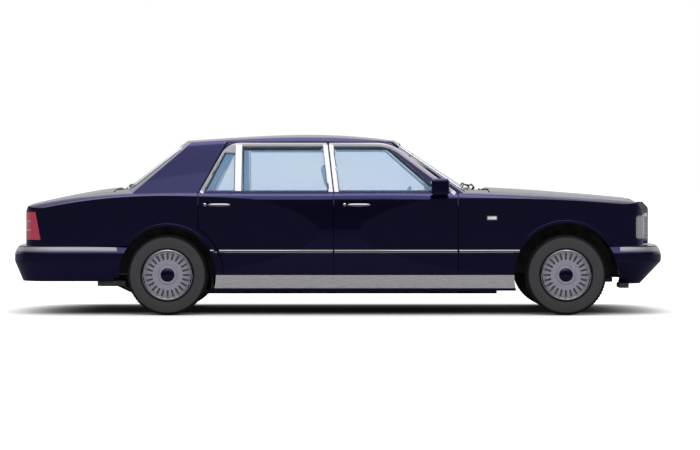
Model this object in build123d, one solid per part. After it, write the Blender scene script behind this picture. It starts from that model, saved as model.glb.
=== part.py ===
"""A long formal four-door saloon: hollow panelled body, hinged doors and lids, steered wheels.

Lengths are in millimetres. X points forward, Y to the car's left and Z up. The
origin is on the ground under the middle of the car's length and width.
"""

import os
from math import cos, hypot, radians, sin

from build123d import *

# Driving dimensions of the whole car
length = 5640
width = 1932
height = 1536
wheelbase = 3365
track = 1608
front_overhang = 893
belt_height = 1035
overrun = 400

half_length = length / 2
half_width = width / 2
front_axle_x = half_length - front_overhang
rear_axle_x = front_axle_x - wheelbase
wheel_y = track / 2

# Clearances
seam_gap = 8
frame_gap = 12
lid_gap = 12
seat_gap = 0.3
glass_gap = 0.3

# Wall thicknesses, measured in from the outer skin
panel_wall = 24
door_wall = 65
door_frame_wall = 22
seal_gap = 0.3
post_wall = 32
roof_wall = 34
glass_inset = 6
glass_wall = 5

# Lower body: one cross section is described by its widest half width and four heights
skirt_height = 205
foot_tuck = 105
rocker_height = 345
rocker_tuck = 30
waist_height = 640
shoulder_tuck = 16
shoulder_bulge = 11
lower_drop = 260

# Shares of half the length, half the width and the belt height:
# station, widest half width, shoulder height, edge half width, edge height, crown height
BODY_SECTION_SHARES = (
    (-0.989, 0.884, 0.826, 0.725, 0.860, 0.882),
    (-0.851, 0.946, 0.886, 0.797, 0.936, 0.966),
    (-0.651, 0.984, 0.933, 0.880, 0.991, 1.050),
    (-0.213, 1.000, 0.945, 0.916, 1.000, 1.058),
    (0.319, 1.000, 0.945, 0.911, 1.000, 1.055),
    (0.532, 0.994, 0.938, 0.870, 0.987, 1.034),
    (0.780, 0.970, 0.914, 0.807, 0.953, 0.986),
    (0.989, 0.914, 0.866, 0.725, 0.897, 0.922),
)

# Plan shape and side profile of the body's two ends, set back from the bumpers
nose_setback = 165
nose_bow = 70
nose_half_width = 893
nose_corner_radius = 240
nose_break_height = 800
nose_lip_run = 150
nose_lip_height = 985
tail_setback = 105
tail_bow = 75
tail_half_width = 880
tail_corner_radius = 200
tail_break_height = 760
tail_lip_run = 110
tail_lip_height = 966
lip_radius = 110
bow_radius = 2400

# Cabin: cross sections above the belt
cabin_foot_height = 925
side_glass_bulge = 12
cant_bulge = 16

# Shares of half the length, half the width and the height:
# station, belt half width, cant half width, cant height, edge half width, edge height, crown height
CABIN_SECTION_SHARES = (
    (-0.709, 0.864, 0.663, 0.879, 0.569, 0.895, 0.908),
    (-0.426, 0.903, 0.704, 0.928, 0.611, 0.957, 0.974),
    (-0.177, 0.915, 0.712, 0.946, 0.621, 0.981, 1.000),
    (0.000, 0.915, 0.709, 0.945, 0.618, 0.980, 0.999),
    (0.184, 0.909, 0.696, 0.927, 0.606, 0.956, 0.967),
    (0.496, 0.880, 0.663, 0.911, 0.580, 0.937, 0.954),
)

# Screens, as centre lines in side view and the bow of the glass across the car
windscreen_foot_x = 1165
windscreen_foot_height = 1052
windscreen_head_x = 500
windscreen_head_height = 1484
windscreen_bow = 52
windscreen_low_half_width = 735
windscreen_high_half_width = 590
windscreen_margin = 45
rear_window_foot_x = -1848
rear_window_foot_height = 1080
rear_window_head_x = -1330
rear_window_head_height = 1476
rear_window_bow = 58
rear_window_low_half_width = 640
rear_window_high_half_width = 545
rear_window_margin = 50
screen_corner_radius = 70
roof_half_width = 560

# Doors, in side view
front_door_x = 1012
centre_post_x = -35
centre_post_lean = 50
rear_door_x = -1176
rear_door_top_x = -938
door_low_height = 349
door_top_height = 1462
front_door_top_x = 452
sill_top_height = 341
door_rebate = 26
post_half_width = 44
door_arch_radius = 478
frame_width = 48
window_low_height = 1046
window_top_height = 1424
window_corner_radius = 16
BACK_EDGE_SHARE = 1.3
FRONT_EDGE_SHARE = 2
quarter_bar_x = -842
quarter_bar_width = 60
mirror_sail_x = 862
post_frame_width = 44
post_room_y = 640

# Wheel arches and liners
front_arch_radius = 438
rear_arch_radius = 410
hub_height = 340
liner_gap = 6
liner_wall = 8
liner_radius = 446
front_liner_outer_y = 866
rear_liner_inner_y = 612
rear_liner_outer_y = 806

# Lids
bonnet_rear_x = 1292
bonnet_front_x = 2492
bonnet_rear_half_width = 772
bonnet_front_half_width = 610
boot_front_x = -1912
boot_half_width = 690
boot_rear_half_width = 655
boot_low_height = 640
lid_floor_height = 780

# Bumpers: a wall swept round each end, its section given from the outermost point
bumper_top_height = 585
bumper_wall = 26
bumper_corner_radius = 330
bumper_side_y = 940
bumper_end_y = 925
bumper_bow = 90
bumper_bow_radius = 3600
bumper_face_low = 452
bumper_face_high = 522
front_bumper_ledge = 195
rear_bumper_ledge = 130
bumper_ledge_drop = 24
bumper_crown = 34
front_chin_height = 262
front_chin_tuck = 178
rear_chin_height = 285
rear_chin_tuck = 70
front_bumper_length = 560
rear_bumper_length = 1150

# Bright sill covers along the foot of the doors
sill_cover_wall = 12
sill_cover_low = 228
sill_cover_rear_x = -1062
sill_cover_front_x = 1498

# Floor: a flat pan with a tunnel, a raised boot floor and two front rails
floor_low_height = 215
floor_wall = 25
floor_rear_x = -1062
floor_front_x = 1180
tunnel_half_width = 145
tunnel_top_height = 400
tunnel_wall = 22
boot_floor_height = 440
boot_floor_rear_x = -2600
rail_inner_y = 396
rail_outer_y = 470
rail_low_height = 425
rail_high_height = 525
rail_front_x = 2600
rail_foot_run = 36

# Bulkheads between engine, cabin and boot
bulkhead_wall = 24
bulkhead_half_width = 758
bulkhead_top_height = 960
scuttle_wall = 24
scuttle_lap = 30
rear_bulkhead_x = -1400
shelf_height = 985
shelf_wall = 20
deck_rear_x = -1900
tail_wall = 30

# Grille shell and its vertical vanes
grille_half_width = 300
grille_low_height = 592
grille_top_height = 972
grille_rear_x = 2506
grille_front_x = 2688
grille_shoulder = 66
grille_shoulder_radius = 45
grille_frame = 30
grille_depth = 62
grille_corner_radius = 26
vane_count = 24
vane_wall = 7
vane_setback = 10

# Lamps, set into the four corners
headlamp_inner_y = 322
headlamp_outer_y = 836
headlamp_low_height = 640
headlamp_high_height = 842
headlamp_rear_x = 2385
headlamp_radius = 28
lamp_depth = 70
lamp_gap = 0.3
tail_lamp_inner_y = 672
tail_lamp_low_height = 636
tail_lamp_high_height = 872
tail_lamp_front_x = -2512
tail_lamp_slant = 46

# Seats: the side view is widened to a seat
seat_width = 540
seat_y = 420
seat_base_height = 300
seat_cushion_height = 560
seat_cushion_front_x = 560
seat_back_x = 85
seat_back_foot_x = -60
seat_back_top_height = 1035
seat_back_lean = 120
seat_back_wall = 110
seat_radius = 34
seat_runner_width = 60
headrest_wall = 95
headrest_width = 270
headrest_low_height = 1062
headrest_high_height = 1300
headrest_stem = 90
headrest_stem_radius = 7
rear_seat_half_width = 590
rear_seat_front_x = -500
rear_seat_cushion_height = 560
rear_seat_back_x = -985
rear_seat_back_lean = 190
rear_seat_back_top_height = 1015

# Dashboard and steering
dash_half_width = 790
dash_low_height = 640
dash_top_height = 965
dash_front_x = 660
dash_nose_radius = 60
dash_rise = 70
dash_notch_x = 1080
column_y = 400
column_lean = 25
column_radius = 36
steering_wheel_x = 560
steering_wheel_height = 905
steering_wheel_radius = 190
steering_rim_radius = 15
steering_rim_sides = 8
steering_hub_radius = 62
steering_hub_length = 46
spoke_width = 44
spoke_wall = 18

# Power train under the car
engine_half_width = 300
engine_low_height = 345
engine_high_height = 850
engine_rear_x = 1480
engine_front_x = 2230
gearbox_half_width = 105
gearbox_low_height = 250
gearbox_high_height = 372
gearbox_rear_x = 900
shaft_radius = 32
shaft_height = 300
differential_half_width = 120
differential_half_length = 140
differential_low_height = 240
differential_high_height = 425
exhaust_radius = 30
exhaust_y = 215
exhaust_front_x = 1380
exhaust_rise_run = 300
exhaust_bend_radius = 150
tail_pipe_rear_x = -2665
tail_pipe_height = 330
silencer_front_x = -2080
silencer_rear_x = -2520
silencer_half_width = 110
silencer_low_height = 290

# Suspension that carries the hubs
arm_half_width = 28
arm_wall = 30
lower_arm_height = 205
upper_arm_height = 480
crossmember_half_length = 70
crossmember_low_height = 245
crossmember_wall = 100
knuckle_radius = 26
stub_radius = 38
steering_arm_length = 150
steering_arm_width = 26
rear_member_x = -1240
rear_member_half_length = 50
rear_member_half_width = 500
carrier_radius = 62
carrier_inner_y = 560
half_shaft_radius = 20

# Door mirrors
mirror_x = 862
mirror_height = 1084
mirror_length = 150
mirror_reach = 175
mirror_depth = 142
mirror_inner_y = 905
mirror_radius = 32
mirror_arm_width = 80
mirror_arm_wall = 34

# Jacking pads under the sills
pad_length = 90
pad_width = 36
pad_drop = 12
pad_y = 836
pad_front_x = 900
pad_rear_x = -880

# Hinge lines
lid_hinge_behind = 40
bonnet_hinge_height = 1064
boot_hinge_height = 1064
lid_hinge_y = 320
lid_barrel_radius = 6
lid_barrel_length = 40
lid_leaf_lap = 16
lid_ear_wall = 9
lid_ear_depth = 24

# Tyres and wheels
tyre_radius = 340
tyre_width = 235
tyre_crown = 9
tyre_shoulder = 17
BELLY_HEIGHT_SHARE = 0.52
rim_radius = 213
rim_width = 200
rim_wall = 12
rim_lip = 9
disc_wall = 16
disc_inset = 26
slot_count = 24
slot_inner_radius = 128
slot_outer_radius = 186
slot_width = 18
hub_cap_radius = 56
hub_cap_height = 12
hub_radius = 72
hub_length = 62
kingpin_y = 754


def profile(points, corner_radii):
    """Closed flat outline through the points, each corner rounded by its radius."""
    return make_face(FilletPolyline(*points, radius=corner_radii, close=True))


def side_view(face):
    """Stand a flat outline up so that its X runs forward and its Y up."""
    return Plane.XZ * face


def side_prism(points, corner_radii=0, reach=half_width + overrun):
    """Solid whose side view is the outline, right across the car."""
    return extrude(side_view(profile(points, corner_radii)), amount=reach, both=True)


def plan_prism(points, corner_radii, low, high):
    """Solid whose plan view is the outline."""
    return extrude(Plane.XY.offset(low) * profile(points, corner_radii), amount=high - low)


def block(x_low, x_high, y_low, y_high, z_low, z_high):
    """Plain box between two corners."""
    centre = ((x_low + x_high) / 2, (y_low + y_high) / 2, (z_low + z_high) / 2)
    return Pos(*centre) * Box(x_high - x_low, y_high - y_low, z_high - z_low)


def across(radius, y_low, y_high, x, z):
    """Cylinder lying across the car."""
    middle = (y_low + y_high) / 2
    return Pos(x, middle, z) * Rot(90, 0, 0) * Cylinder(radius, y_high - y_low)


def other_side(shape):
    """The same shape on the car's other side."""
    return mirror(shape, about=Plane.XZ)


def one_solid(shape):
    """The largest solid of a cut, without any offcuts."""
    return max(shape.solids(), key=lambda solid: solid.volume)


def section_wire(x, right_half):
    """Closed symmetric section at x from arcs and lines given for one half.

    Each entry of right_half is (start, end, middle or None); the last one crosses the car.
    """
    edges = []
    for start, end, middle in right_half:
        if middle is None:
            edges.append(Edge.make_line((x, *start), (x, *end)))
        else:
            edges.append(Edge.make_three_point_arc((x, *start), (x, *middle), (x, *end)))
    for start, end, middle in reversed(right_half[1:-1]):
        flipped = [(x, -point[0], point[1]) if point else None for point in (end, start, middle)]
        if middle is None:
            edges.append(Edge.make_line(flipped[0], flipped[1]))
        else:
            edges.append(Edge.make_three_point_arc(flipped[0], flipped[2], flipped[1]))
    return Wire(edges)


def bulged(start, end, bulge):
    """Middle of an arc from start to end that stands off its chord to the outside."""
    run = (end[0] - start[0], end[1] - start[1])
    chord = hypot(*run)
    middle = ((start[0] + end[0]) / 2, (start[1] + end[1]) / 2)
    return (middle[0] + bulge * run[1] / chord, middle[1] - bulge * run[0] / chord)


def body_section(row, inset):
    """Section of the lower body, moved in from the skin by inset."""
    station, widest, shoulder, edge_y, edge_z, crown = row
    x = station * half_length
    drop = lower_drop if inset else 0
    widest_y = widest * half_width - inset
    tuck_share = (foot_tuck - rocker_tuck) / (rocker_height - skirt_height)
    foot = (widest_y - foot_tuck - drop * tuck_share, skirt_height - drop)
    rocker = (widest_y - rocker_tuck, rocker_height)
    shoulder_point = (widest_y - shoulder_tuck, shoulder * belt_height)
    edge_point = (edge_y * half_width - inset, edge_z * belt_height - inset)
    if inset:
        shoulder_point = (shoulder_point[0], shoulder_point[1] - inset)
    return section_wire(
        x,
        [
            ((-foot[0], foot[1]), foot, None),
            (foot, rocker, None),
            (rocker, shoulder_point, (widest_y, waist_height)),
            (shoulder_point, edge_point, bulged(shoulder_point, edge_point, shoulder_bulge)),
            (edge_point, (-edge_point[0], edge_point[1]), (0, crown * belt_height - inset)),
        ],
    )


def lower_body(inset):
    """Lower body as a solid whose skin lies inset inside the car's own."""
    hull = Solid.make_loft([body_section(row, inset) for row in BODY_SECTION_SHARES])
    nose_x = half_length - nose_setback - inset
    tail_x = -half_length + tail_setback + inset
    side_y = half_width + seam_gap - inset
    plan = plan_prism(
        [
            (0, -side_y),
            (nose_x - nose_bow, -nose_half_width + inset),
            (nose_x, 0),
            (nose_x - nose_bow, nose_half_width - inset),
            (0, side_y),
            (tail_x + tail_bow, tail_half_width - inset),
            (tail_x, 0),
            (tail_x + tail_bow, -tail_half_width + inset),
        ],
        [
            0,
            nose_corner_radius - inset,
            bow_radius,
            nose_corner_radius - inset,
            0,
            tail_corner_radius - inset,
            bow_radius,
            tail_corner_radius - inset,
        ],
        -overrun,
        height,
    )
    ends = side_prism(
        [
            (tail_x, -overrun),
            (nose_x, -overrun),
            (nose_x, nose_break_height - inset),
            (nose_x - nose_lip_run, nose_lip_height - inset),
            (nose_x - nose_lip_run - overrun, height),
            (tail_x + tail_lip_run + overrun, height),
            (tail_x + tail_lip_run, tail_lip_height - inset),
            (tail_x, tail_break_height - inset),
        ],
        [0, 0, lip_radius, 0, 0, 0, 0, lip_radius],
    )
    return one_solid(hull & plan & ends)


def cabin_section(row, inset):
    """Section of the cabin, moved in from the skin by inset."""
    station, belt_y, cant_y, cant_z, edge_y, edge_z, crown = row
    belt_point = (belt_y * half_width - inset, belt_height)
    cant_point = (cant_y * half_width - inset, cant_z * height)
    lean = (belt_point[0] - cant_point[0]) / (cant_point[1] - belt_point[1])
    foot = (belt_point[0] + lean * (belt_height - cabin_foot_height), cabin_foot_height)
    edge_point = (edge_y * half_width - inset / 2, edge_z * height - inset)
    return section_wire(
        station * half_length,
        [
            ((-foot[0], foot[1]), foot, None),
            (foot, cant_point, bulged(foot, cant_point, side_glass_bulge)),
            (cant_point, edge_point, bulged(cant_point, edge_point, cant_bulge)),
            (edge_point, (-edge_point[0], edge_point[1]), (0, crown * height - inset)),
        ],
    )


def screen_direction(foot_x, foot_z, head_x, head_z):
    """Unit vector up a screen, and the one that points into the cabin."""
    run = Vector(head_x - foot_x, 0, head_z - foot_z).normalized()
    inward = Vector(-run.Z, 0, run.X) if run.X < 0 else Vector(run.Z, 0, -run.X)
    return run, inward


def screen_roller(foot_x, foot_z, head_x, head_z, half_span, bow, inset):
    """Big leaning cylinder whose near side is the bowed outside of a screen."""
    run, inward = screen_direction(foot_x, foot_z, head_x, head_z)
    radius = (half_span**2 + bow**2) / (2 * bow)
    axis_point = Vector(foot_x, 0, foot_z) + inward * radius
    return Plane(origin=axis_point, z_dir=run) * Cylinder(radius - inset, 2 * length)


def cabin(inset):
    """Cabin as a solid whose skin lies inset inside the car's own."""
    hull = Solid.make_loft([cabin_section(row, inset) for row in CABIN_SECTION_SHARES])
    front = screen_roller(
        windscreen_foot_x,
        windscreen_foot_height,
        windscreen_head_x,
        windscreen_head_height,
        windscreen_low_half_width,
        windscreen_bow,
        inset,
    )
    back = screen_roller(
        rear_window_foot_x,
        rear_window_foot_height,
        rear_window_head_x,
        rear_window_head_height,
        rear_window_low_half_width,
        rear_window_bow,
        inset,
    )
    return one_solid(hull & front & back)


def screen_cut(foot_x, foot_z, head_x, head_z, low_half, high_half, margin, grow):
    """Prism square to a screen, as large as its opening grown by grow."""
    run, inward = screen_direction(foot_x, foot_z, head_x, head_z)
    slope = hypot(head_x - foot_x, head_z - foot_z)
    plane = Plane(origin=Vector(foot_x, 0, foot_z), x_dir=(0, 1, 0), z_dir=inward * -1)
    side = 1 if plane.y_dir.dot(run) > 0 else -1
    low = margin - grow
    high = slope - margin + grow
    opening = profile(
        [
            (-low_half - grow, side * low),
            (low_half + grow, side * low),
            (high_half + grow, side * high),
            (-high_half - grow, side * high),
        ],
        screen_corner_radius,
    )
    return extrude(plane * opening, amount=overrun / 2, both=True)


def windscreen_cut(grow):
    """Opening of the windscreen."""
    return screen_cut(
        windscreen_foot_x,
        windscreen_foot_height,
        windscreen_head_x,
        windscreen_head_height,
        windscreen_low_half_width,
        windscreen_high_half_width,
        windscreen_margin,
        grow,
    )


def rear_window_cut(grow):
    """Opening of the rear window."""
    return screen_cut(
        rear_window_foot_x,
        rear_window_foot_height,
        rear_window_head_x,
        rear_window_head_height,
        rear_window_low_half_width,
        rear_window_high_half_width,
        rear_window_margin,
        grow,
    )


def front_door_points(grow):
    """Side view of a front door, grown by grow all round."""
    rear = centre_post_x + seam_gap / 2 - grow
    rear_top = centre_post_x - centre_post_lean + frame_gap / 2 - grow
    return [
        (rear, door_low_height - grow),
        (front_door_x + grow, door_low_height - grow),
        (front_door_x + grow, belt_height),
        (front_door_top_x + grow * FRONT_EDGE_SHARE, door_top_height + grow),
        (rear_top, door_top_height + grow),
        (rear, belt_height),
    ]


def rear_door_points(grow):
    """Side view of a rear door, before its lower corner is cut round the wheel arch."""
    front = centre_post_x - seam_gap / 2 + grow
    front_top = centre_post_x - centre_post_lean - frame_gap / 2 + grow
    return [
        (rear_door_x - grow, door_low_height - grow),
        (front, door_low_height - grow),
        (front, belt_height),
        (front_top, door_top_height + grow),
        (rear_door_top_x - grow * BACK_EDGE_SHARE, door_top_height + grow),
        (rear_door_x - grow, belt_height),
    ]


def left_of(inner_y):
    """Everything on the car's left outboard of inner_y."""
    return block(-length, length, inner_y, half_width + overrun, -overrun, height + overrun)


def door_prism(points, grow, arch):
    """Prism through a left door's outline; arch cuts its corner round the rear wheel."""
    prism = side_prism(points) & left_of(roof_half_width)
    if arch:
        prism -= across(door_arch_radius - grow, 0, half_width + overrun, rear_axle_x, hub_height)
    return prism


def window_prism(points):
    """Prism through a window's outline on the left side."""
    return side_prism(points, window_corner_radius) & left_of(roof_half_width / 2)


def front_window_points(grow):
    """Side view of a front door's glass."""
    rear = centre_post_x + post_frame_width
    return [
        (rear - grow, window_low_height - grow),
        (mirror_sail_x + grow, window_low_height - grow),
        (front_door_top_x - frame_width / 2 + grow, window_top_height + grow),
        (rear - centre_post_lean - grow, window_top_height + grow),
    ]


def rear_window_points(grow):
    """Side view of a rear door's main glass."""
    front = centre_post_x - post_frame_width
    rear = quarter_bar_x + quarter_bar_width / 2
    return [
        (rear - grow, window_low_height - grow),
        (front + grow, window_low_height - grow),
        (front - centre_post_lean + grow, window_top_height + grow),
        (rear - grow, window_top_height + grow),
    ]


def quarter_light_points(grow):
    """Side view of the fixed light behind a rear door's main glass."""
    front = quarter_bar_x - quarter_bar_width / 2
    return [
        (rear_door_x + frame_width - grow, window_low_height - grow),
        (front + grow, window_low_height - grow),
        (front + grow, window_top_height + grow),
        (rear_door_top_x + grow / 2, window_top_height + grow),
    ]


def bonnet_prism(grow):
    """Plan of the bonnet, grown by grow at its rear, front and sides."""
    return plan_prism(
        [
            (bonnet_rear_x - grow, -bonnet_rear_half_width - grow),
            (bonnet_front_x + grow, -bonnet_front_half_width - grow),
            (bonnet_front_x + grow, bonnet_front_half_width + grow),
            (bonnet_rear_x - grow, bonnet_rear_half_width + grow),
        ],
        0,
        lid_floor_height,
        height,
    )


def boot_prism(grow):
    """Plan of the boot lid, with its turned-down rear face."""
    tail_x = -half_length - grow
    return plan_prism(
        [
            (tail_x, -boot_rear_half_width - grow),
            (boot_front_x + grow, -boot_half_width - grow),
            (boot_front_x + grow, boot_half_width + grow),
            (tail_x, boot_rear_half_width + grow),
        ],
        0,
        boot_low_height - grow,
        height,
    )


def door(points, windows, arch):
    """A left door: its outline cut from the door-thick shell, with its windows cut out."""
    panel = door_shell & door_prism(points(0), 0, arch)
    for window in windows:
        panel -= window_prism(window(0))
    return one_solid(panel)


def post_room():
    """Room behind a front door's leading edge, so that it swings clear of the windscreen post."""
    return block(front_door_top_x, front_door_x, 0, post_room_y, belt_height, window_top_height)


def door_glass(windows):
    """The panes of a left door, seated in its openings."""
    panes = [one_solid(glass_shell & window_prism(window(-glass_gap))) for window in windows]
    return Compound(children=panes)


def sill_band():
    """Band at the foot of the left side that the bright cover takes up."""
    return block(
        sill_cover_rear_x,
        sill_cover_front_x,
        roof_half_width,
        half_width + overrun,
        sill_cover_low,
        sill_top_height,
    )


def tail_lamp_prism(grow):
    """Space of the left tail lamp, with its slanted front edge."""
    outline = side_prism(
        [
            (-length, tail_lamp_low_height - grow),
            (tail_lamp_front_x + grow, tail_lamp_low_height - grow),
            (tail_lamp_front_x - tail_lamp_slant + grow, tail_lamp_high_height + grow),
            (-length, tail_lamp_high_height + grow),
        ]
    )
    return outline & left_of(tail_lamp_inner_y - grow)


def headlamp_prism(grow):
    """Space of the left headlamp."""
    middle_y = (headlamp_inner_y + headlamp_outer_y) / 2
    middle_z = (headlamp_low_height + headlamp_high_height) / 2
    face = RectangleRounded(
        headlamp_outer_y - headlamp_inner_y + 2 * grow,
        headlamp_high_height - headlamp_low_height + 2 * grow,
        headlamp_radius,
    )
    start = Plane(origin=(headlamp_rear_x - grow, middle_y, middle_z), x_dir=(0, 1, 0), z_dir=(1, 0, 0))
    return extrude(start * face, amount=length)


def jacking_pad(x):
    """Flat pad under the left sill."""
    return block(
        x - pad_length / 2,
        x + pad_length / 2,
        pad_y - pad_width / 2,
        pad_y + pad_width / 2,
        skirt_height - pad_drop,
        skirt_height + pad_drop,
    )


def body_side():
    """Left body side: sill, posts, roof rail, rear quarter and screen posts in one."""
    outboard = half_width + overrun
    side = thick_wall & block(
        -length, front_door_x + seam_gap, roof_half_width, outboard, skirt_height, height
    )
    side += thick_wall & block(
        centre_post_x, front_axle_x, roof_half_width, outboard, skirt_height, sill_top_height
    )
    side += (cabin_skin - cabin_wall) & block(
        centre_post_x, bonnet_rear_x, roof_half_width, outboard, skirt_height, height
    )
    side += (lower_post - lower_wall - cabin_wall) & block(
        front_door_x, front_door_x + 2 * post_half_width, roof_half_width, outboard,
        skirt_height, belt_height - 2 * panel_wall,
    )
    for points, arch in ((front_door_points, False), (rear_door_points, True)):
        pocket = door_prism(points(seam_gap), seam_gap, arch)
        side -= pocket & pocket_shell
        side -= door_prism(points(-door_rebate), -door_rebate, arch)
    side -= wheel_spaces
    side -= windscreen_cut(0)
    side -= rear_window_cut(0)
    side -= boot_prism(lid_gap)
    side -= tail_lamp_prism(lamp_gap)
    side -= block(-length, rear_axle_x, 0, outboard, -overrun, bumper_top_height)
    side -= sill_band() - lower_cover
    for x in (pad_front_x, pad_rear_x):
        side += jacking_pad(x)
    return one_solid(side)


def sill_cover():
    """Bright cover over the left sill."""
    cover = (lower_skin - lower_cover) & sill_band()
    return one_solid(cover - wheel_spaces)


def front_wing():
    """Left front wing, from the door to the nose."""
    region = block(
        front_door_x + seam_gap,
        half_length,
        bonnet_front_half_width,
        half_width + overrun,
        sill_top_height,
        height,
    )
    wing = thin_shell & region
    wing -= bonnet_prism(lid_gap)
    wing -= wheel_spaces
    wing -= cabin_skin
    wing -= headlamp_prism(lamp_gap)
    wing -= block(front_axle_x, length, 0, half_width + overrun, -overrun, bumper_top_height)
    return one_solid(wing)


def nose_panel():
    """Panel between the wings, with openings for the grille and the headlamps."""
    region = block(
        bonnet_front_x + lid_gap,
        half_length,
        -bonnet_front_half_width,
        bonnet_front_half_width,
        bumper_top_height,
        height,
    )
    grille_space = block(
        grille_rear_x - seat_gap,
        length,
        -grille_half_width - seat_gap,
        grille_half_width + seat_gap,
        grille_low_height - seat_gap,
        height,
    )
    panel = (thin_shell & region) - grille_space
    lamp = headlamp_prism(lamp_gap)
    panel -= lamp
    panel -= other_side(lamp)
    return one_solid(panel)


def headlamp():
    """Left headlamp, as one block behind the skin."""
    return one_solid((lower_skin - lower_lamp) & headlamp_prism(0))


def tail_lamp():
    """Left tail lamp, wrapped round the corner."""
    return one_solid((lower_skin - lower_lamp) & tail_lamp_prism(0))


def grille():
    """Upright radiator shell with vertical vanes in its mouth."""
    outline = side_prism(
        [
            (grille_rear_x, grille_low_height),
            (grille_front_x, grille_low_height),
            (grille_front_x, grille_top_height - grille_shoulder),
            (grille_front_x - grille_shoulder, grille_top_height),
            (grille_rear_x, grille_top_height),
        ],
        [0, 0, grille_shoulder_radius, grille_shoulder_radius / 2, 0],
    )
    tall = grille_top_height - grille_low_height
    front_view = Plane.YZ.offset(grille_rear_x) * Pos(0, grille_low_height + tall / 2) * RectangleRounded(
        2 * grille_half_width, tall, grille_corner_radius
    )
    shell = outline & extrude(front_view, amount=length)
    mouth_half = grille_half_width - grille_frame
    mouth_low = grille_low_height + grille_frame
    mouth_high = grille_top_height - grille_shoulder
    shell -= block(
        grille_front_x - grille_depth, length, -mouth_half, mouth_half, mouth_low, mouth_high
    )
    pitch = 2 * mouth_half / (vane_count + 1)
    for index in range(vane_count):
        middle = -mouth_half + pitch * (index + 1)
        shell += block(
            grille_front_x - grille_depth - vane_wall,
            grille_front_x - vane_setback,
            middle - vane_wall / 2,
            middle + vane_wall / 2,
            mouth_low - vane_wall,
            mouth_high + vane_wall,
        )
    return one_solid(shell)


def roof_panel():
    """Roof between the two roof rails, with the headers over both screens."""
    panel = cabin_skin - cabin_roof
    panel &= block(
        -length, length, -roof_half_width, roof_half_width, belt_height + overrun / 4, height + overrun
    )
    panel -= windscreen_cut(0)
    panel -= rear_window_cut(0)
    return one_solid(panel)


def lid_leaf(edge_x, hinge_x, hinge_z):
    """Left hinge leaf of a lid: a barrel on the hinge line and its strap to the lid's edge."""
    barrel_end = lid_hinge_y + lid_barrel_length
    lap_x = edge_x + lid_leaf_lap * (1 if edge_x > hinge_x else -1)
    strap = block(
        *sorted((hinge_x, lap_x)), lid_hinge_y, barrel_end,
        hinge_z - lid_barrel_radius, hinge_z,
    )
    return strap + across(lid_barrel_radius, lid_hinge_y, barrel_end, hinge_x, hinge_z)


def lid_ears(hinge_x, hinge_z):
    """Left pair of ears that hold a lid's barrel between them."""
    ears = []
    for low_y in (lid_hinge_y - seat_gap - lid_ear_wall, lid_hinge_y + lid_barrel_length + seat_gap):
        ears.append(
            block(
                hinge_x - lid_barrel_radius, hinge_x + lid_barrel_radius, low_y, low_y + lid_ear_wall,
                hinge_z - lid_ear_depth, hinge_z + lid_barrel_radius,
            )
        )
    return ears[0] + ears[1]


def bonnet():
    """Bonnet panel with its two hinge leaves."""
    leaf = lid_leaf(bonnet_rear_x, bonnet_hinge_x, bonnet_hinge_height)
    return one_solid((thin_shell & bonnet_prism(0)) + leaf + other_side(leaf))


def boot_lid():
    """Boot lid with its turned-down rear face and its two hinge leaves."""
    leaf = lid_leaf(boot_front_x, boot_hinge_x, boot_hinge_height)
    return one_solid((thin_shell & boot_prism(0)) + leaf + other_side(leaf))


def bumper(face_x, chin_height, chin_tuck, ledge, end_length, axle_x, arch_radius):
    """Bumper wall swept round one end; face_x is its outermost point, ahead or behind."""
    way = 1 if face_x > 0 else -1
    side_x = face_x - way * bumper_bow
    end_x = face_x - way * end_length
    path = FilletPolyline(
        (end_x, -bumper_end_y, 0),
        (side_x, -bumper_side_y, 0),
        (face_x, 0, 0),
        (side_x, bumper_side_y, 0),
        (end_x, bumper_end_y, 0),
        radius=[bumper_corner_radius, bumper_bow_radius, bumper_corner_radius],
    )
    start = path @ 0
    tangent = path % 0
    inward = Vector(0, 1, 0)
    frame = Plane(origin=start, x_dir=inward - tangent * inward.dot(tangent), z_dir=tangent)
    up = way
    section = profile(
        [
            (chin_tuck, up * chin_height),
            (0, up * bumper_face_low),
            (0, up * bumper_face_high),
            (bumper_crown, up * bumper_top_height),
            (ledge, up * bumper_top_height),
            (ledge, up * (bumper_top_height - bumper_ledge_drop)),
            (bumper_crown + bumper_wall, up * (bumper_top_height - bumper_ledge_drop)),
            (bumper_wall, up * (bumper_face_high - bumper_ledge_drop)),
            (bumper_wall, up * (bumper_face_low + bumper_ledge_drop / 2)),
            (chin_tuck + bumper_wall, up * (chin_height + bumper_ledge_drop / 4)),
        ],
        [0, bumper_crown, bumper_crown, bumper_crown / 2, 0, 0, 0, 0, 0, 0],
    )
    wall = sweep(frame * section, path=path)
    wall -= across(arch_radius, -width, width, axle_x, hub_height)
    liner_y = front_liner_outer_y + liner_gap
    wall -= across(liner_radius + liner_wall + liner_gap, -liner_y, liner_y, axle_x, hub_height)
    return one_solid(wall)


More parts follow.
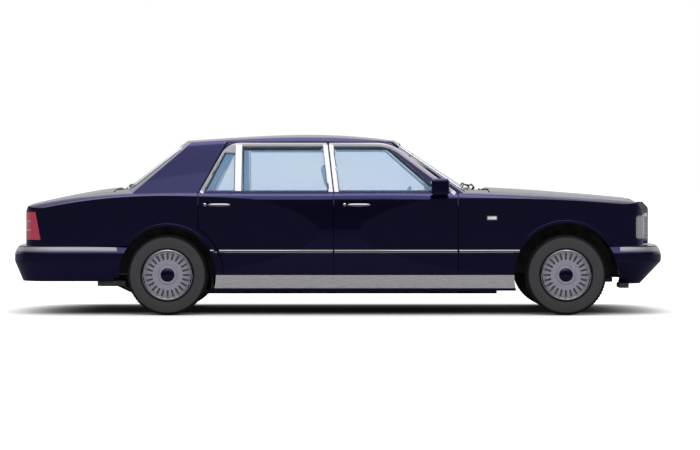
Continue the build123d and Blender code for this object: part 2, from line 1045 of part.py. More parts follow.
def floor_pan():
    """Floor with its tunnel, the raised boot floor and the two front rails."""
    wide = half_width
    floor_top = floor_low_height + floor_wall
    pan = block(floor_rear_x, floor_front_x, -wide, wide, floor_low_height, floor_top)
    pan += block(
        floor_rear_x, floor_front_x, -tunnel_half_width, tunnel_half_width,
        floor_low_height, tunnel_top_height,
    )
    pan += block(
        floor_rear_x - floor_wall, floor_rear_x, -wide, wide, floor_low_height, boot_floor_height + floor_wall
    )
    pan += block(
        boot_floor_rear_x, floor_rear_x, -wide, wide, boot_floor_height, boot_floor_height + floor_wall
    )
    tunnel_inner = tunnel_half_width - tunnel_wall
    pan -= block(
        floor_rear_x - 2 * floor_wall,
        floor_front_x,
        -tunnel_inner,
        tunnel_inner,
        -overrun,
        tunnel_top_height - tunnel_wall,
    )
    for side in (1, -1):
        low_y, high_y = sorted((side * rail_inner_y, side * rail_outer_y))
        pan += block(
            floor_front_x - rail_foot_run, floor_front_x, low_y, high_y, floor_low_height, rail_high_height
        )
        pan += block(
            floor_front_x - rail_foot_run, rail_front_x, low_y, high_y, rail_low_height, rail_high_height
        )
        low_y, high_y = sorted((side * (rear_liner_inner_y - seat_gap), side * wide))
        pan -= across(liner_radius + liner_wall + seat_gap, low_y, high_y, rear_axle_x, hub_height)
    return one_solid(pan & lower_fit)


def bulkhead():
    """Plate between engine and cabin, with the scuttle over it up to the bonnet."""
    plate = block(
        floor_front_x,
        floor_front_x + bulkhead_wall,
        -bulkhead_half_width,
        bulkhead_half_width,
        floor_low_height,
        cabin_foot_height - bulkhead_wall,
    )
    plate += block(
        floor_front_x,
        floor_front_x + bulkhead_wall,
        -roof_half_width,
        roof_half_width,
        floor_low_height,
        bulkhead_top_height,
    )
    for side in (1, -1):
        low_y, high_y = sorted((side * rail_inner_y, side * rail_outer_y))
        plate -= block(
            floor_front_x, length, low_y - seat_gap, high_y + seat_gap, rail_low_height - seat_gap,
            rail_high_height + seat_gap,
        )
    plate -= block(
        floor_front_x,
        length,
        -tunnel_half_width + tunnel_wall,
        tunnel_half_width - tunnel_wall,
        -overrun,
        tunnel_top_height - tunnel_wall,
    )
    scuttle_half = bonnet_front_half_width + scuttle_lap
    scuttle = (lower_post - lower_scuttle) & block(
        front_door_x + 3 * post_half_width, bonnet_rear_x - lid_gap, -scuttle_half, scuttle_half,
        belt_height / 2, height,
    )
    scuttle -= cabin_skin
    header = (cabin_skin - cabin_roof) & block(
        front_door_x, bonnet_rear_x, -roof_half_width, roof_half_width, cabin_foot_height, height
    )
    header -= windscreen_cut(0)
    ears = lid_ears(bonnet_hinge_x, bonnet_hinge_height)
    return one_solid(plate + scuttle + header + ears + other_side(ears))


def rear_bulkhead():
    """Wall behind the rear seat, the shelf over it and the deck under the rear window."""
    wall = block(
        rear_bulkhead_x,
        rear_bulkhead_x + bulkhead_wall,
        -rear_seat_half_width,
        rear_seat_half_width,
        boot_floor_height + floor_wall,
        shelf_height,
    )
    wall += block(
        deck_rear_x, rear_bulkhead_x + bulkhead_wall, -roof_half_width, roof_half_width,
        shelf_height - shelf_wall, shelf_height,
    )
    deck = (lower_post - lower_scuttle) & block(
        deck_rear_x, rear_window_foot_x + overrun, -roof_half_width, roof_half_width, belt_height / 2, height
    )
    wall += deck - cabin_skin
    wall += block(
        deck_rear_x, deck_rear_x + shelf_wall, -roof_half_width, roof_half_width,
        shelf_height - shelf_wall, belt_height + panel_wall / 2,
    )
    sill = (cabin_skin - cabin_roof) & block(
        deck_rear_x, rear_bulkhead_x, -roof_half_width, roof_half_width, belt_height - panel_wall,
        belt_height + overrun / 4,
    )
    wall += sill - rear_window_cut(0)
    ears = lid_ears(boot_hinge_x, boot_hinge_height)
    return one_solid(wall + ears + other_side(ears))


def tail_panel():
    """Panel below the boot lid, down to the boot floor."""
    skin = (lower_skin - lower_panel) & block(
        -half_length, tail_lamp_front_x, -roof_half_width, roof_half_width, bumper_top_height,
        boot_low_height - lid_gap,
    )
    wall = block(
        boot_floor_rear_x - tail_wall,
        boot_floor_rear_x,
        -roof_half_width,
        roof_half_width,
        boot_floor_height,
        boot_low_height - lid_gap,
    )
    shelf = block(
        -half_length + tail_setback + panel_wall,
        boot_floor_rear_x,
        -roof_half_width,
        roof_half_width,
        bumper_top_height,
        bumper_top_height + panel_wall,
    )
    return one_solid(skin + wall + (shelf & lower_skin))


def arch_liners():
    """Two half rings round the upper parts of the left wheels, with their inner walls."""
    pieces = []
    for axle_x, inner_y, outer_y in (
        (front_axle_x, rail_outer_y, front_liner_outer_y),
        (rear_axle_x, rear_liner_inner_y, rear_liner_outer_y),
    ):
        ring = across(liner_radius + liner_wall, inner_y, outer_y, axle_x, hub_height)
        ring -= across(liner_radius, inner_y + liner_wall, outer_y, axle_x, hub_height)
        ring &= block(-length, length, 0, width, sill_top_height + seat_gap, height)
        ring -= across(carrier_radius + liner_gap, 0, outer_y, axle_x, hub_height)
        ring -= block(
            axle_x - 2 * arm_half_width, axle_x + 2 * arm_half_width, 0, kingpin_y,
            upper_arm_height - arm_wall, upper_arm_height + 2 * arm_wall,
        )
        pieces.append(one_solid(ring))
    return pieces


def tyre():
    """Tyre on the Y axis, its section turned about the hub."""
    half = tyre_width / 2
    bead = rim_width / 2
    belly = rim_radius + (tyre_radius - rim_radius) * BELLY_HEIGHT_SHARE
    section = profile(
        [
            (rim_radius, -bead),
            (rim_radius, bead),
            (belly, half),
            (tyre_radius - tyre_crown, half - tyre_shoulder),
            (tyre_radius, half - 2 * tyre_shoulder),
            (tyre_radius, -half + 2 * tyre_shoulder),
            (tyre_radius - tyre_crown, -half + tyre_shoulder),
            (belly, -half),
        ],
        0,
    )
    return revolve(section, axis=Axis.Y)


def wheel():
    """Wheel on the Y axis, its outer face to +Y: rim, slotted disc, hub and plain cap."""
    bead = rim_width / 2
    barrel = rim_radius - rim_wall
    face = bead - disc_inset
    section = profile(
        [
            (0, face - hub_length),
            (hub_radius, face - hub_length),
            (hub_radius, face - disc_wall),
            (barrel, face - disc_wall),
            (barrel, -bead),
            (rim_radius - seat_gap, -bead),
            (rim_radius - seat_gap, bead),
            (barrel + rim_lip, bead + rim_lip),
            (barrel - rim_lip, face + rim_lip),
            (slot_outer_radius + rim_lip, face),
            (hub_cap_radius, face),
            (hub_cap_radius, face + hub_cap_height),
            (0, face + hub_cap_height),
        ],
        0,
    )
    body = revolve(section, axis=Axis.Y)
    run = slot_outer_radius - slot_inner_radius
    slot = extrude(
        side_view(Pos(slot_inner_radius + run / 2, 0) * SlotOverall(run, slot_width)),
        amount=half_width,
        both=True,
    )
    for index in range(slot_count):
        body -= Rot(0, 360 / slot_count * index, 0) * slot
    return one_solid(body)


def knuckle():
    """Left knuckle: kingpin post, stub and steering arm."""
    low = lower_arm_height + arm_wall + seat_gap
    high = upper_arm_height - seat_gap
    post = Pos(front_axle_x, kingpin_y, (low + high) / 2) * Cylinder(knuckle_radius, high - low)
    stub = across(stub_radius, kingpin_y, hub_inner_y - seat_gap, front_axle_x, hub_height)
    arm = block(
        front_axle_x - steering_arm_length, front_axle_x, kingpin_y - steering_arm_width,
        kingpin_y, low + 2 * arm_wall, low + 3 * arm_wall,
    )
    return one_solid(post + stub + arm)


def front_suspension():
    """Crossmember under the engine with two pairs of arms out to the kingpins."""
    member_high = crossmember_low_height + crossmember_wall
    frame = block(
        front_axle_x - crossmember_half_length, front_axle_x + crossmember_half_length,
        -rail_outer_y, rail_outer_y, crossmember_low_height, member_high,
    )
    for side in (1, -1):
        inner, outer = sorted((side * rail_inner_y, side * rail_outer_y))
        frame += block(
            front_axle_x - crossmember_half_length, front_axle_x + crossmember_half_length,
            inner, outer, member_high, rail_low_height,
        )
        for low, inner_end in ((lower_arm_height, rail_inner_y), (upper_arm_height, rail_outer_y)):
            inner, outer = sorted((side * inner_end, side * (kingpin_y + knuckle_radius)))
            frame += block(
                front_axle_x - arm_half_width, front_axle_x + arm_half_width, inner, outer,
                low, low + arm_wall,
            )
        inner, outer = sorted((side * rail_inner_y, side * rail_outer_y))
        frame += block(
            front_axle_x - arm_half_width, front_axle_x + arm_half_width, inner, outer,
            lower_arm_height, crossmember_low_height,
        )
    return frame


def rear_suspension():
    """Crossmember under the boot floor, trailing arms, hub carriers and half shafts."""
    frame = block(
        rear_member_x - rear_member_half_length, rear_member_x + rear_member_half_length,
        -rear_member_half_width, rear_member_half_width,
        boot_floor_height - crossmember_wall, boot_floor_height,
    )
    for side in (1, -1):
        inner, outer = sorted((side * carrier_inner_y, side * (hub_inner_y - seat_gap)))
        frame += across(carrier_radius, inner, outer, rear_axle_x, hub_height)
        arm_inner_y = rear_member_half_width - arm_wall
        inner, outer = sorted((side * arm_inner_y, side * (carrier_inner_y + arm_wall)))
        frame += block(rear_axle_x, rear_member_x, inner, outer, hub_height, hub_height + 2 * arm_wall)
        inner, outer = sorted((side * differential_half_width, side * carrier_inner_y))
        frame += across(half_shaft_radius, inner, outer, rear_axle_x, hub_height)
    return frame


def drive_line():
    """Gearbox, propeller shaft and final drive in one line under the car."""
    line = block(
        gearbox_rear_x, engine_rear_x, -gearbox_half_width, gearbox_half_width,
        gearbox_low_height, gearbox_high_height,
    )
    diff_front = rear_axle_x + differential_half_length
    shaft_length = gearbox_rear_x - diff_front
    line += Pos(diff_front + shaft_length / 2, 0, shaft_height) * Rot(0, 90, 0) * Cylinder(
        shaft_radius, shaft_length
    )
    line += block(
        rear_axle_x - differential_half_length, diff_front, -differential_half_width,
        differential_half_width, differential_low_height, differential_high_height,
    )
    return line


def exhaust():
    """Left exhaust pipe, low under the rear axle and up to its silencer behind it."""
    pipe_z = floor_low_height - exhaust_radius - seat_gap
    route = FilletPolyline(
        (exhaust_front_x, exhaust_y, pipe_z),
        (silencer_front_x + exhaust_rise_run, exhaust_y, pipe_z),
        (silencer_front_x, exhaust_y, tail_pipe_height),
        (tail_pipe_rear_x, exhaust_y, tail_pipe_height),
        radius=exhaust_bend_radius,
    )
    section = Plane(origin=route @ 0, z_dir=route % 0) * Circle(exhaust_radius)
    pipe = sweep(section, path=route)
    silencer = block(
        silencer_rear_x, silencer_front_x, exhaust_y - silencer_half_width, exhaust_y + silencer_half_width,
        silencer_low_height, boot_floor_height - seat_gap,
    )
    return pipe + silencer


def engine():
    """Engine as one plain block."""
    return block(
        engine_rear_x, engine_front_x, -engine_half_width, engine_half_width,
        engine_low_height, engine_high_height,
    )


def widened(points, corner_radii, half, y):
    """Side view outline widened to a pad of half width half about y."""
    return Pos(0, y, 0) * extrude(side_view(profile(points, corner_radii)), amount=half, both=True)


def front_seat():
    """Left front seat: cushion and back, runners below, head restraint above."""
    low = floor_low_height + floor_wall
    seat = widened(
        [
            (seat_back_foot_x, seat_base_height),
            (seat_cushion_front_x, seat_base_height),
            (seat_cushion_front_x, seat_cushion_height),
            (seat_back_x, seat_cushion_height),
            (seat_back_x - seat_back_lean, seat_back_top_height),
            (seat_back_x - seat_back_lean - seat_back_wall, seat_back_top_height),
        ],
        [seat_radius, seat_radius, 2 * seat_radius, seat_radius, seat_radius, seat_radius],
        seat_width / 2,
        seat_y,
    )
    rest_x = seat_back_x - seat_back_lean - seat_back_wall / 2
    rest = block(
        rest_x - headrest_wall / 2, rest_x + headrest_wall / 2, seat_y - headrest_width / 2,
        seat_y + headrest_width / 2, headrest_low_height, headrest_high_height,
    )
    seat += fillet(rest.edges(), seat_radius)
    for side in (1, -1):
        seat += Pos(rest_x, seat_y + side * headrest_width / 4, headrest_low_height) * Cylinder(
            headrest_stem_radius, headrest_stem
        )
    for side in (1, -1):
        middle = seat_y + side * (seat_width / 2 - seat_runner_width)
        seat += block(
            seat_back_foot_x, seat_cushion_front_x - seat_runner_width, middle - seat_runner_width / 2,
            middle + seat_runner_width / 2, low, seat_base_height,
        )
    return one_solid(seat)


def rear_seat():
    """Rear bench: cushion over the tunnel, back on the boot floor."""
    low = tunnel_top_height + seat_gap
    back_low = boot_floor_height + floor_wall
    rear_x = rear_bulkhead_x + bulkhead_wall
    return widened(
        [
            (floor_rear_x, low),
            (rear_seat_front_x, low),
            (rear_seat_front_x, rear_seat_cushion_height),
            (rear_seat_back_x, rear_seat_cushion_height),
            (rear_seat_back_x - rear_seat_back_lean, rear_seat_back_top_height),
            (rear_x, rear_seat_back_top_height),
            (rear_x, back_low),
            (floor_rear_x, back_low),
        ],
        [0, seat_radius, 2 * seat_radius, seat_radius, seat_radius, seat_radius, 0, 0],
        rear_seat_half_width,
        0,
    )


def dash_notch():
    """Room in the dashboard's left front corner for the foot of the windscreen post."""
    return block(
        dash_notch_x, length, roof_half_width - seat_gap, width, cabin_foot_height - seat_gap, height
    )


def dashboard():
    """Dashboard across the cabin, seated on the bulkhead."""
    return widened(
        [
            (dash_front_x + dash_rise, dash_low_height),
            (floor_front_x, dash_low_height),
            (floor_front_x, dash_top_height),
            (dash_front_x + dash_rise, dash_top_height),
            (dash_front_x, dash_top_height - dash_rise),
        ],
        [dash_nose_radius, 0, 0, dash_nose_radius, dash_nose_radius / 2],
        dash_half_width,
        0,
    ) - dash_notch() - other_side(dash_notch())


def steering_frame():
    """Frame at the steering wheel's hub, its Z up the column to the driver."""
    lean = radians(column_lean)
    return Plane(
        origin=(steering_wheel_x, column_y, steering_wheel_height),
        x_dir=(0, 1, 0),
        z_dir=(-cos(lean), 0, sin(lean)),
    )


def steering_wheel():
    """Rim, hub and three spokes."""
    rim_section = Plane.XZ * Pos(steering_wheel_radius, 0) * RegularPolygon(
        steering_rim_radius, steering_rim_sides
    )
    whole = revolve(rim_section, axis=Axis.Z)
    whole += Cylinder(steering_hub_radius, steering_hub_length)
    for turn in (0, 180, 270):
        whole += Rot(0, 0, turn) * Pos(steering_wheel_radius / 2, 0, 0) * Box(
            steering_wheel_radius, spoke_width, spoke_wall
        )
    return steering_frame() * whole


def steering_column():
    """Column from the hub down into the dashboard."""
    reach = (dash_front_x + dash_rise - steering_wheel_x) / cos(radians(column_lean))
    low = steering_hub_length / 2 + seat_gap
    return steering_frame() * Pos(0, 0, -low - reach / 2) * Cylinder(column_radius, reach) - dashboard()


def door_mirror():
    """Left door mirror on its arm."""
    housing = Pos(mirror_x, mirror_inner_y + mirror_reach / 2, mirror_height) * Box(
        mirror_length, mirror_reach, mirror_depth
    )
    housing = fillet(housing.edges(), mirror_radius)
    arm = block(
        mirror_x - mirror_arm_width / 2, mirror_x + mirror_arm_width / 2,
        mirror_inner_y - 3 * mirror_radius, mirror_inner_y + mirror_radius,
        belt_height - mirror_arm_wall / 4, belt_height + mirror_arm_wall,
    )
    return one_solid((housing + arm) - cabin_skin - lower_skin)


# Solids of the whole car, each inside the last, that the panels are cut from
lower_skin = lower_body(0)
lower_cover = lower_body(sill_cover_wall)
lower_panel = lower_body(panel_wall)
lower_post = lower_body(panel_wall + seat_gap)
lower_scuttle = lower_body(panel_wall + scuttle_wall)
lower_door = lower_body(door_wall)
lower_seal = lower_body(door_wall + seal_gap)
lower_lamp = lower_body(lamp_depth)
lower_wall = lower_body(door_wall + seal_gap + post_wall)
lower_fit = lower_body(door_wall + seal_gap + post_wall + seat_gap)
cabin_skin = cabin(0)
cabin_frame = cabin(door_frame_wall)
cabin_seal = cabin(door_frame_wall + seal_gap)
cabin_wall = cabin(door_frame_wall + seal_gap + post_wall)
cabin_roof = cabin(roof_wall)
cabin_glass = cabin(glass_inset)
cabin_glass_inner = cabin(glass_inset + glass_wall)

car_skin = lower_skin + cabin_skin
left_skin = car_skin & left_of(roof_half_width / 2)
thick_wall = left_skin - lower_wall - cabin_wall
door_shell = left_skin - lower_door - cabin_frame
pocket_shell = left_skin - lower_seal - cabin_seal
thin_shell = lower_skin - lower_panel
glass_shell = cabin_glass - cabin_glass_inner

front_arch = across(front_arch_radius, -width, width, front_axle_x, hub_height)
rear_arch = across(rear_arch_radius, -width, width, rear_axle_x, hub_height)
wheel_spaces = front_arch + rear_arch
hub_inner_y = wheel_y + rim_width / 2 - disc_inset - hub_length
bonnet_hinge_x = bonnet_rear_x - lid_hinge_behind
boot_hinge_x = boot_front_x + lid_hinge_behind

parts = {}


def add_pair(name, shape):
    """Store a left-hand piece and its mirror image as two nodes."""
    parts[f"{name}_left"] = shape
    parts[f"{name}_right"] = other_side(shape)


def add_sides(name, *shapes):
    """Store left-hand pieces and their mirror images together in one node."""
    solids = [solid for shape in shapes for solid in shape.solids()]
    solids += [solid for shape in shapes for solid in other_side(shape).solids()]
    parts[name] = Compound(children=solids)


add_pair("body_side", body_side())
add_pair("door_front", one_solid(door(front_door_points, [front_window_points], False) - post_room()))
add_pair("door_rear", door(rear_door_points, [rear_window_points, quarter_light_points], True))
add_pair("glass_front", door_glass([front_window_points]))
add_pair("glass_rear", door_glass([rear_window_points, quarter_light_points]))
add_pair("mirror", door_mirror())
add_pair("front_wing", front_wing())
add_pair("knuckle", knuckle())
add_sides("sill_covers", sill_cover())
add_sides("headlamps", headlamp())
add_sides("tail_lamps", tail_lamp())
add_sides("arch_liners", *arch_liners())
add_sides("front_seats", front_seat())
add_sides("exhaust", exhaust())
parts["roof_panel"] = roof_panel()
parts["bonnet"] = bonnet()
parts["boot_lid"] = boot_lid()
parts["nose_panel"] = nose_panel()
parts["grille"] = grille()
parts["windscreen"] = one_solid(glass_shell & windscreen_cut(-glass_gap))
parts["rear_window"] = one_solid(glass_shell & rear_window_cut(-glass_gap))
parts["front_bumper"] = bumper(
    half_length, front_chin_height, front_chin_tuck, front_bumper_ledge, front_bumper_length,
    front_axle_x, front_arch_radius,
)
parts["rear_bumper"] = bumper(
    -half_length, rear_chin_height, rear_chin_tuck, rear_bumper_ledge, rear_bumper_length,
    rear_axle_x, rear_arch_radius,
)
parts["floor_pan"] = floor_pan()
parts["bulkhead"] = bulkhead()
parts["rear_bulkhead"] = rear_bulkhead()
parts["tail_panel"] = tail_panel()
parts["engine"] = engine()
parts["drive_line"] = drive_line()
parts["front_suspension"] = front_suspension()
parts["rear_suspension"] = rear_suspension()
parts["rear_seat"] = rear_seat()
parts["dashboard"] = dashboard()
parts["steering_column"] = steering_column()
parts["steering_wheel"] = steering_wheel()

one_tyre = tyre()
one_wheel = wheel()
for end, axle_x in (("front", front_axle_x), ("rear", rear_axle_x)):
    place = Pos(axle_x, wheel_y, hub_height)
    add_pair(f"tyre_{end}", place * one_tyre)
    add_pair(f"wheel_{end}", place * one_wheel)

os.makedirs("parts", exist_ok=True)
for name, shape in parts.items():
    export_step(shape, f"parts/{name}.step")
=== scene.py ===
"""Dresses the long saloon: paint, chrome, glass, leather, lamps, tyres and trim round the frame.

Lengths are in metres. X points forward, Y to the car's left and Z up, as in the frame.
"""

from math import cos, exp, pi, radians, sin, sqrt, tau

import bmesh
import bpy
from mathutils import Matrix, Vector
from mathutils.bvhtree import BVHTree
from mathutils.geometry import convex_hull_2d


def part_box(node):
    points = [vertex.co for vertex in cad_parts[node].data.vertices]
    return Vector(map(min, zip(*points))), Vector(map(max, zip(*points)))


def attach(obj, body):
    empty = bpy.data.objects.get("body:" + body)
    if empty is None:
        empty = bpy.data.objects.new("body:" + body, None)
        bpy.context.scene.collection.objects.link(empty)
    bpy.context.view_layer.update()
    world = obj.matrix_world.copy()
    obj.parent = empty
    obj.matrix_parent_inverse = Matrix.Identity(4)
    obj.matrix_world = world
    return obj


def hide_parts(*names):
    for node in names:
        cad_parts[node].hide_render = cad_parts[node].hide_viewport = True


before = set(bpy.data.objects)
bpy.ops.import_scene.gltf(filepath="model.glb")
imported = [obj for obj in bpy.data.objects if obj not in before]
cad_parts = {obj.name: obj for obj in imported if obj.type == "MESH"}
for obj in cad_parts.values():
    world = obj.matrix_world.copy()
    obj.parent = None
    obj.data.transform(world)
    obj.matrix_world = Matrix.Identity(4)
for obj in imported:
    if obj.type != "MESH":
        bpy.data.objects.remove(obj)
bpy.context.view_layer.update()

SIDES = (("left", 1), ("right", -1))
ENDS = ("front", "rear")
X = Vector((1, 0, 0))
Y = Vector((0, 1, 0))
Z = Vector((0, 0, 1))
FAR = 3.0
SMOOTH_ANGLE = radians(38)


# Camera, lights and ground

PHOTO_WIDTH = 700
CAMERA_PLACE = (0.103, -22.4, 1.10)
CAMERA_LENS = 131
SENSOR_WIDTH = 36
HORIZON_RISE_PIXELS = 40
SKY_LIGHT = 0.92
SKY_GLOSS = 1.8
SKY_STEEPNESS = 3.0
BACKDROP_GLOSS = 0.75
BACKDROP_EDGE = (0.05, 0.5)
FLOOR_GLOW = 0.5
# Painted shadow on the floor: middle, half sizes, soft edges and depth of its dark field
SHADOW_MIDDLE = (0.05, 0.32)
SHADOW_HALF = (2.55, 0.85)
SHADOW_FADE = (0.45, 0.30)
SHADOW_DEPTH = 0.93
# Reach of the painted contact shade that darkens the floor near the car
SHADOW_REACH = 1.1
FLOOR_HALF = 500
FLOOR_DROP = 0.001
WHITE = (1, 1, 1, 1)
FLOOR_PALE = (0.9, 0.9, 0.9, 1)
# Floor colour under the painted shadow
FLOOR_PAINTED_SHADOW = (0.03, 0.03, 0.03, 1)
FLOOR_MIRRORED = (0.14, 0.14, 0.15, 1)


def put(tree, kind, inputs=None, **settings):
    """Adds a shader node; each input, by name or number, is a value or another node's output."""
    node = tree.nodes.new("ShaderNode" + kind)
    for name, value in settings.items():
        setattr(node, name, value)
    for key, value in (inputs or {}).items():
        if isinstance(value, bpy.types.NodeSocket):
            tree.links.new(value, node.inputs[key])
        else:
            node.inputs[key].default_value = value
    return node


def compute(tree, operation, *values):
    """Result of one sum on values or other nodes' outputs."""
    return put(tree, "Math", dict(enumerate(values)), operation=operation).outputs[0]


def soft_step(tree, value, low, high, start, end):
    """Smooth change from start to end while a value goes from low to high."""
    ends = {"Value": value, "From Min": low, "From Max": high, "To Min": start, "To Max": end}
    return put(tree, "MapRange", ends, interpolation_type="SMOOTHSTEP").outputs["Result"]


def set_camera():
    """Puts the camera where the photograph was taken from: square to the car's right side."""
    data = bpy.data.cameras.new("camera")
    data.sensor_width = SENSOR_WIDTH
    data.lens = CAMERA_LENS
    data.shift_y = -HORIZON_RISE_PIXELS / PHOTO_WIDTH
    camera = bpy.data.objects.new("camera", data)
    camera.location = CAMERA_PLACE
    camera.rotation_euler = (pi / 2, 0, 0)
    bpy.context.scene.collection.objects.link(camera)
    bpy.context.scene.camera = camera


def softbox(name, place, target, size, strength):
    """Rectangular lamp that faces a point; strength is its radiance, where 1 is white."""
    data = bpy.data.lights.new(name, "AREA")
    data.shape = "RECTANGLE"
    data.size, data.size_y = size
    data.energy = strength * pi * size[0] * size[1]
    lamp = bpy.data.objects.new(name, data)
    lamp.location = place
    lamp.rotation_euler = (Vector(target) - Vector(place)).to_track_quat("-Z", "Y").to_euler()
    bpy.context.scene.collection.objects.link(lamp)


def set_lights():
    """One long box above the car, a low fill on each side."""
    softbox("top_light", (0, 0, 6), (0, 0, 0), (9, 3.2), 1.5)
    softbox("right_light", (0, -8, 9), (0, 0, 1), (9, 2.4), 0.9)
    softbox("left_light", (0, 8, 9), (0, 0, 1), (9, 2.4), 0.9)


def set_world():
    """White to the camera, plain pale light all round, and a dark horizon in what gloss reflects."""
    bpy.context.scene.view_settings.view_transform = "Standard"
    world = bpy.data.worlds.new("world")
    bpy.context.scene.world = world
    world.use_nodes = True
    tree = world.node_tree
    tree.nodes.clear()
    way = put(tree, "SeparateXYZ", {0: put(tree, "TexCoord").outputs["Generated"]}).outputs
    path = put(tree, "LightPath").outputs
    height = compute(tree, "POWER", compute(tree, "MAXIMUM", way["Z"], 0), SKY_STEEPNESS)
    sky = compute(tree, "MULTIPLY", height, SKY_GLOSS)
    backdrop = soft_step(tree, way["Y"], *BACKDROP_EDGE, 0, BACKDROP_GLOSS)
    gloss = compute(tree, "MAXIMUM", sky, backdrop)
    level = put(tree, "Mix", {"Factor": path["Is Glossy Ray"], "A": SKY_LIGHT, "B": gloss})
    light = put(tree, "Background", {"Color": WHITE, "Strength": level.outputs["Result"]})
    white = put(tree, "Background", {"Color": WHITE})
    seen = compute(tree, "MAXIMUM", path["Is Camera Ray"], path["Is Transmission Ray"])
    mixed = put(tree, "MixShader", {0: seen, 1: light.outputs[0], 2: white.outputs[0]})
    put(tree, "OutputWorld", {0: mixed.outputs[0]})


def painted_floor_shadow(tree):
    """Painted floor shadow: share of brightness left, a soft-edged dark field beneath and beyond the car."""
    place = put(tree, "SeparateXYZ", {0: put(tree, "TexCoord").outputs["Object"]}).outputs
    fields = []
    for axis, middle, half, fade in zip("XY", SHADOW_MIDDLE, SHADOW_HALF, SHADOW_FADE):
        offset = compute(tree, "ABSOLUTE", compute(tree, "SUBTRACT", place[axis], middle))
        fields.append(soft_step(tree, offset, half - fade, half + fade, 1, 0))
    return compute(tree, "MULTIPLY_ADD", compute(tree, "MULTIPLY", *fields), -SHADOW_DEPTH, 1)


def add_ground():
    """Wide pale floor: real shadow, plus a painted shadow field and painted contact shade."""
    material, tree, shader = new_material("studio_floor", (0.86, 0.86, 0.87), 0.9, 0, 0)
    path = put(tree, "LightPath").outputs
    # Painted contact shade: occlusion darkens the floor's glow near the car
    free = put(tree, "AmbientOcclusion", {"Distance": SHADOW_REACH}, samples=8).outputs["AO"]
    # Painted shadow: a dark field that darkens the floor's glow and colour
    painted_shadow_factor = painted_floor_shadow(tree)
    shown = compute(tree, "MULTIPLY", path["Is Camera Ray"], FLOOR_GLOW)
    shown = compute(tree, "MULTIPLY", compute(tree, "MULTIPLY", shown, free), painted_shadow_factor)
    glow = put(tree, "Emission", {"Color": WHITE, "Strength": shown})
    pale = put(tree, "Mix", {"Factor": painted_shadow_factor, "A": FLOOR_PAINTED_SHADOW, "B": FLOOR_PALE}, data_type="RGBA")
    ends = {"Factor": path["Is Glossy Ray"], "A": pale.outputs["Result"], "B": FLOOR_MIRRORED}
    color = put(tree, "Mix", ends, data_type="RGBA")
    tree.links.new(color.outputs["Result"], shader.inputs["Base Color"])
    total = put(tree, "AddShader", {0: shader.outputs[0], 1: glow.outputs[0]})
    tree.links.new(total.outputs[0], tree.nodes["Material Output"].inputs[0])
    corners = [(x * FLOOR_HALF, y * FLOOR_HALF, 0) for x, y in ((-1, -1), (1, -1), (1, 1), (-1, 1))]
    mesh = bpy.data.meshes.new("floor")
    mesh.from_pydata(corners, [], [(0, 1, 2, 3)])
    mesh.materials.append(material)
    floor = bpy.data.objects.new("floor", mesh)
    floor.location.z = -FLOOR_DROP
    bpy.context.scene.collection.objects.link(floor)


# Materials


TINT_STOPS = (0.3, 0.7)


def new_material(name, color, roughness=0.5, metallic=0.0, specular=0.5):
    """Material with one principled shader; returns it with its node tree and shader."""
    material = bpy.data.materials.new(name)
    material.use_nodes = True
    tree = material.node_tree
    shader = tree.nodes["Principled BSDF"]
    shader.inputs["Base Color"].default_value = (*color, 1)
    shader.inputs["Roughness"].default_value = roughness
    shader.inputs["Metallic"].default_value = metallic
    shader.inputs["Specular IOR Level"].default_value = specular
    return material, tree, shader


def own_place(tree):
    """Texture place that moves with the piece."""
    return put(tree, "TexCoord").outputs["Object"]


def noise(scale, detail=3.0, stretch=(1, 1, 1)):
    """Recipe of a noise; a stretch above 1 packs it closer along that axis."""
    def make(tree):
        spread = put(tree, "Mapping", {"Vector": own_place(tree), "Scale": stretch}).outputs[0]
        return put(tree, "TexNoise", {"Vector": spread, "Scale": scale, "Detail": detail}).outputs[0]
    return make


def cells(scale, randomness=1.0):
    """Recipe of small cells, regular where the randomness is 0."""
    def make(tree):
        inputs = {"Vector": own_place(tree), "Scale": scale, "Randomness": randomness}
        return put(tree, "TexVoronoi", inputs).outputs["Distance"]
    return make


def waves(direction, **inputs):
    """Recipe of bands across one direction."""
    def make(tree):
        placed = {**inputs, "Vector": own_place(tree)}
        return put(tree, "TexWave", placed, bands_direction=direction).outputs["Fac"]
    return make


def painted_wall_light(tree):
    """Painted light on a tyre: 0 on the tread, dark as shade; 1 on the flat side walls, pale as if lit."""
    normal = put(tree, "TexCoord").outputs["Normal"]
    flat = compute(tree, "ABSOLUTE", put(tree, "SeparateXYZ", {0: normal}).outputs["Y"])
    return put(tree, "MapRange", {"Value": flat, "From Min": 0.90, "From Max": 0.99}).outputs["Result"]


def finish(name, color, roughness=0.5, metallic=0.0, specular=0.5, tint=None, gloss=None, relief=None,
           **sockets):
    """Material: tint is recipe, dark, pale; gloss is recipe, low, high; relief is recipe, depth, strength."""
    material, tree, shader = new_material(name, color, roughness, metallic, specular)
    if tint:
        recipe, dark, pale = tint
        ramp = put(tree, "ValToRGB", {0: recipe(tree)})
        for stop, position, end in zip(ramp.color_ramp.elements, TINT_STOPS, (dark, pale)):
            stop.position = position
            stop.color = (*end, 1)
        tree.links.new(ramp.outputs[0], shader.inputs["Base Color"])
    if gloss:
        recipe, low, high = gloss
        spread = put(tree, "MapRange", {"Value": recipe(tree), "To Min": low, "To Max": high})
        tree.links.new(spread.outputs[0], shader.inputs["Roughness"])
    if relief:
        recipe, depth, strength = relief
        bump = put(tree, "Bump", {"Strength": strength, "Distance": depth, "Height": recipe(tree)})
        tree.links.new(bump.outputs[0], shader.inputs["Normal"])
    for socket, value in sockets.items():
        shader.inputs[socket.replace("_", " ").title()].default_value = value
    return material


def scaled(color, share):
    """Colour made darker or paler by a share."""
    return tuple(min(1, value * share) for value in color)


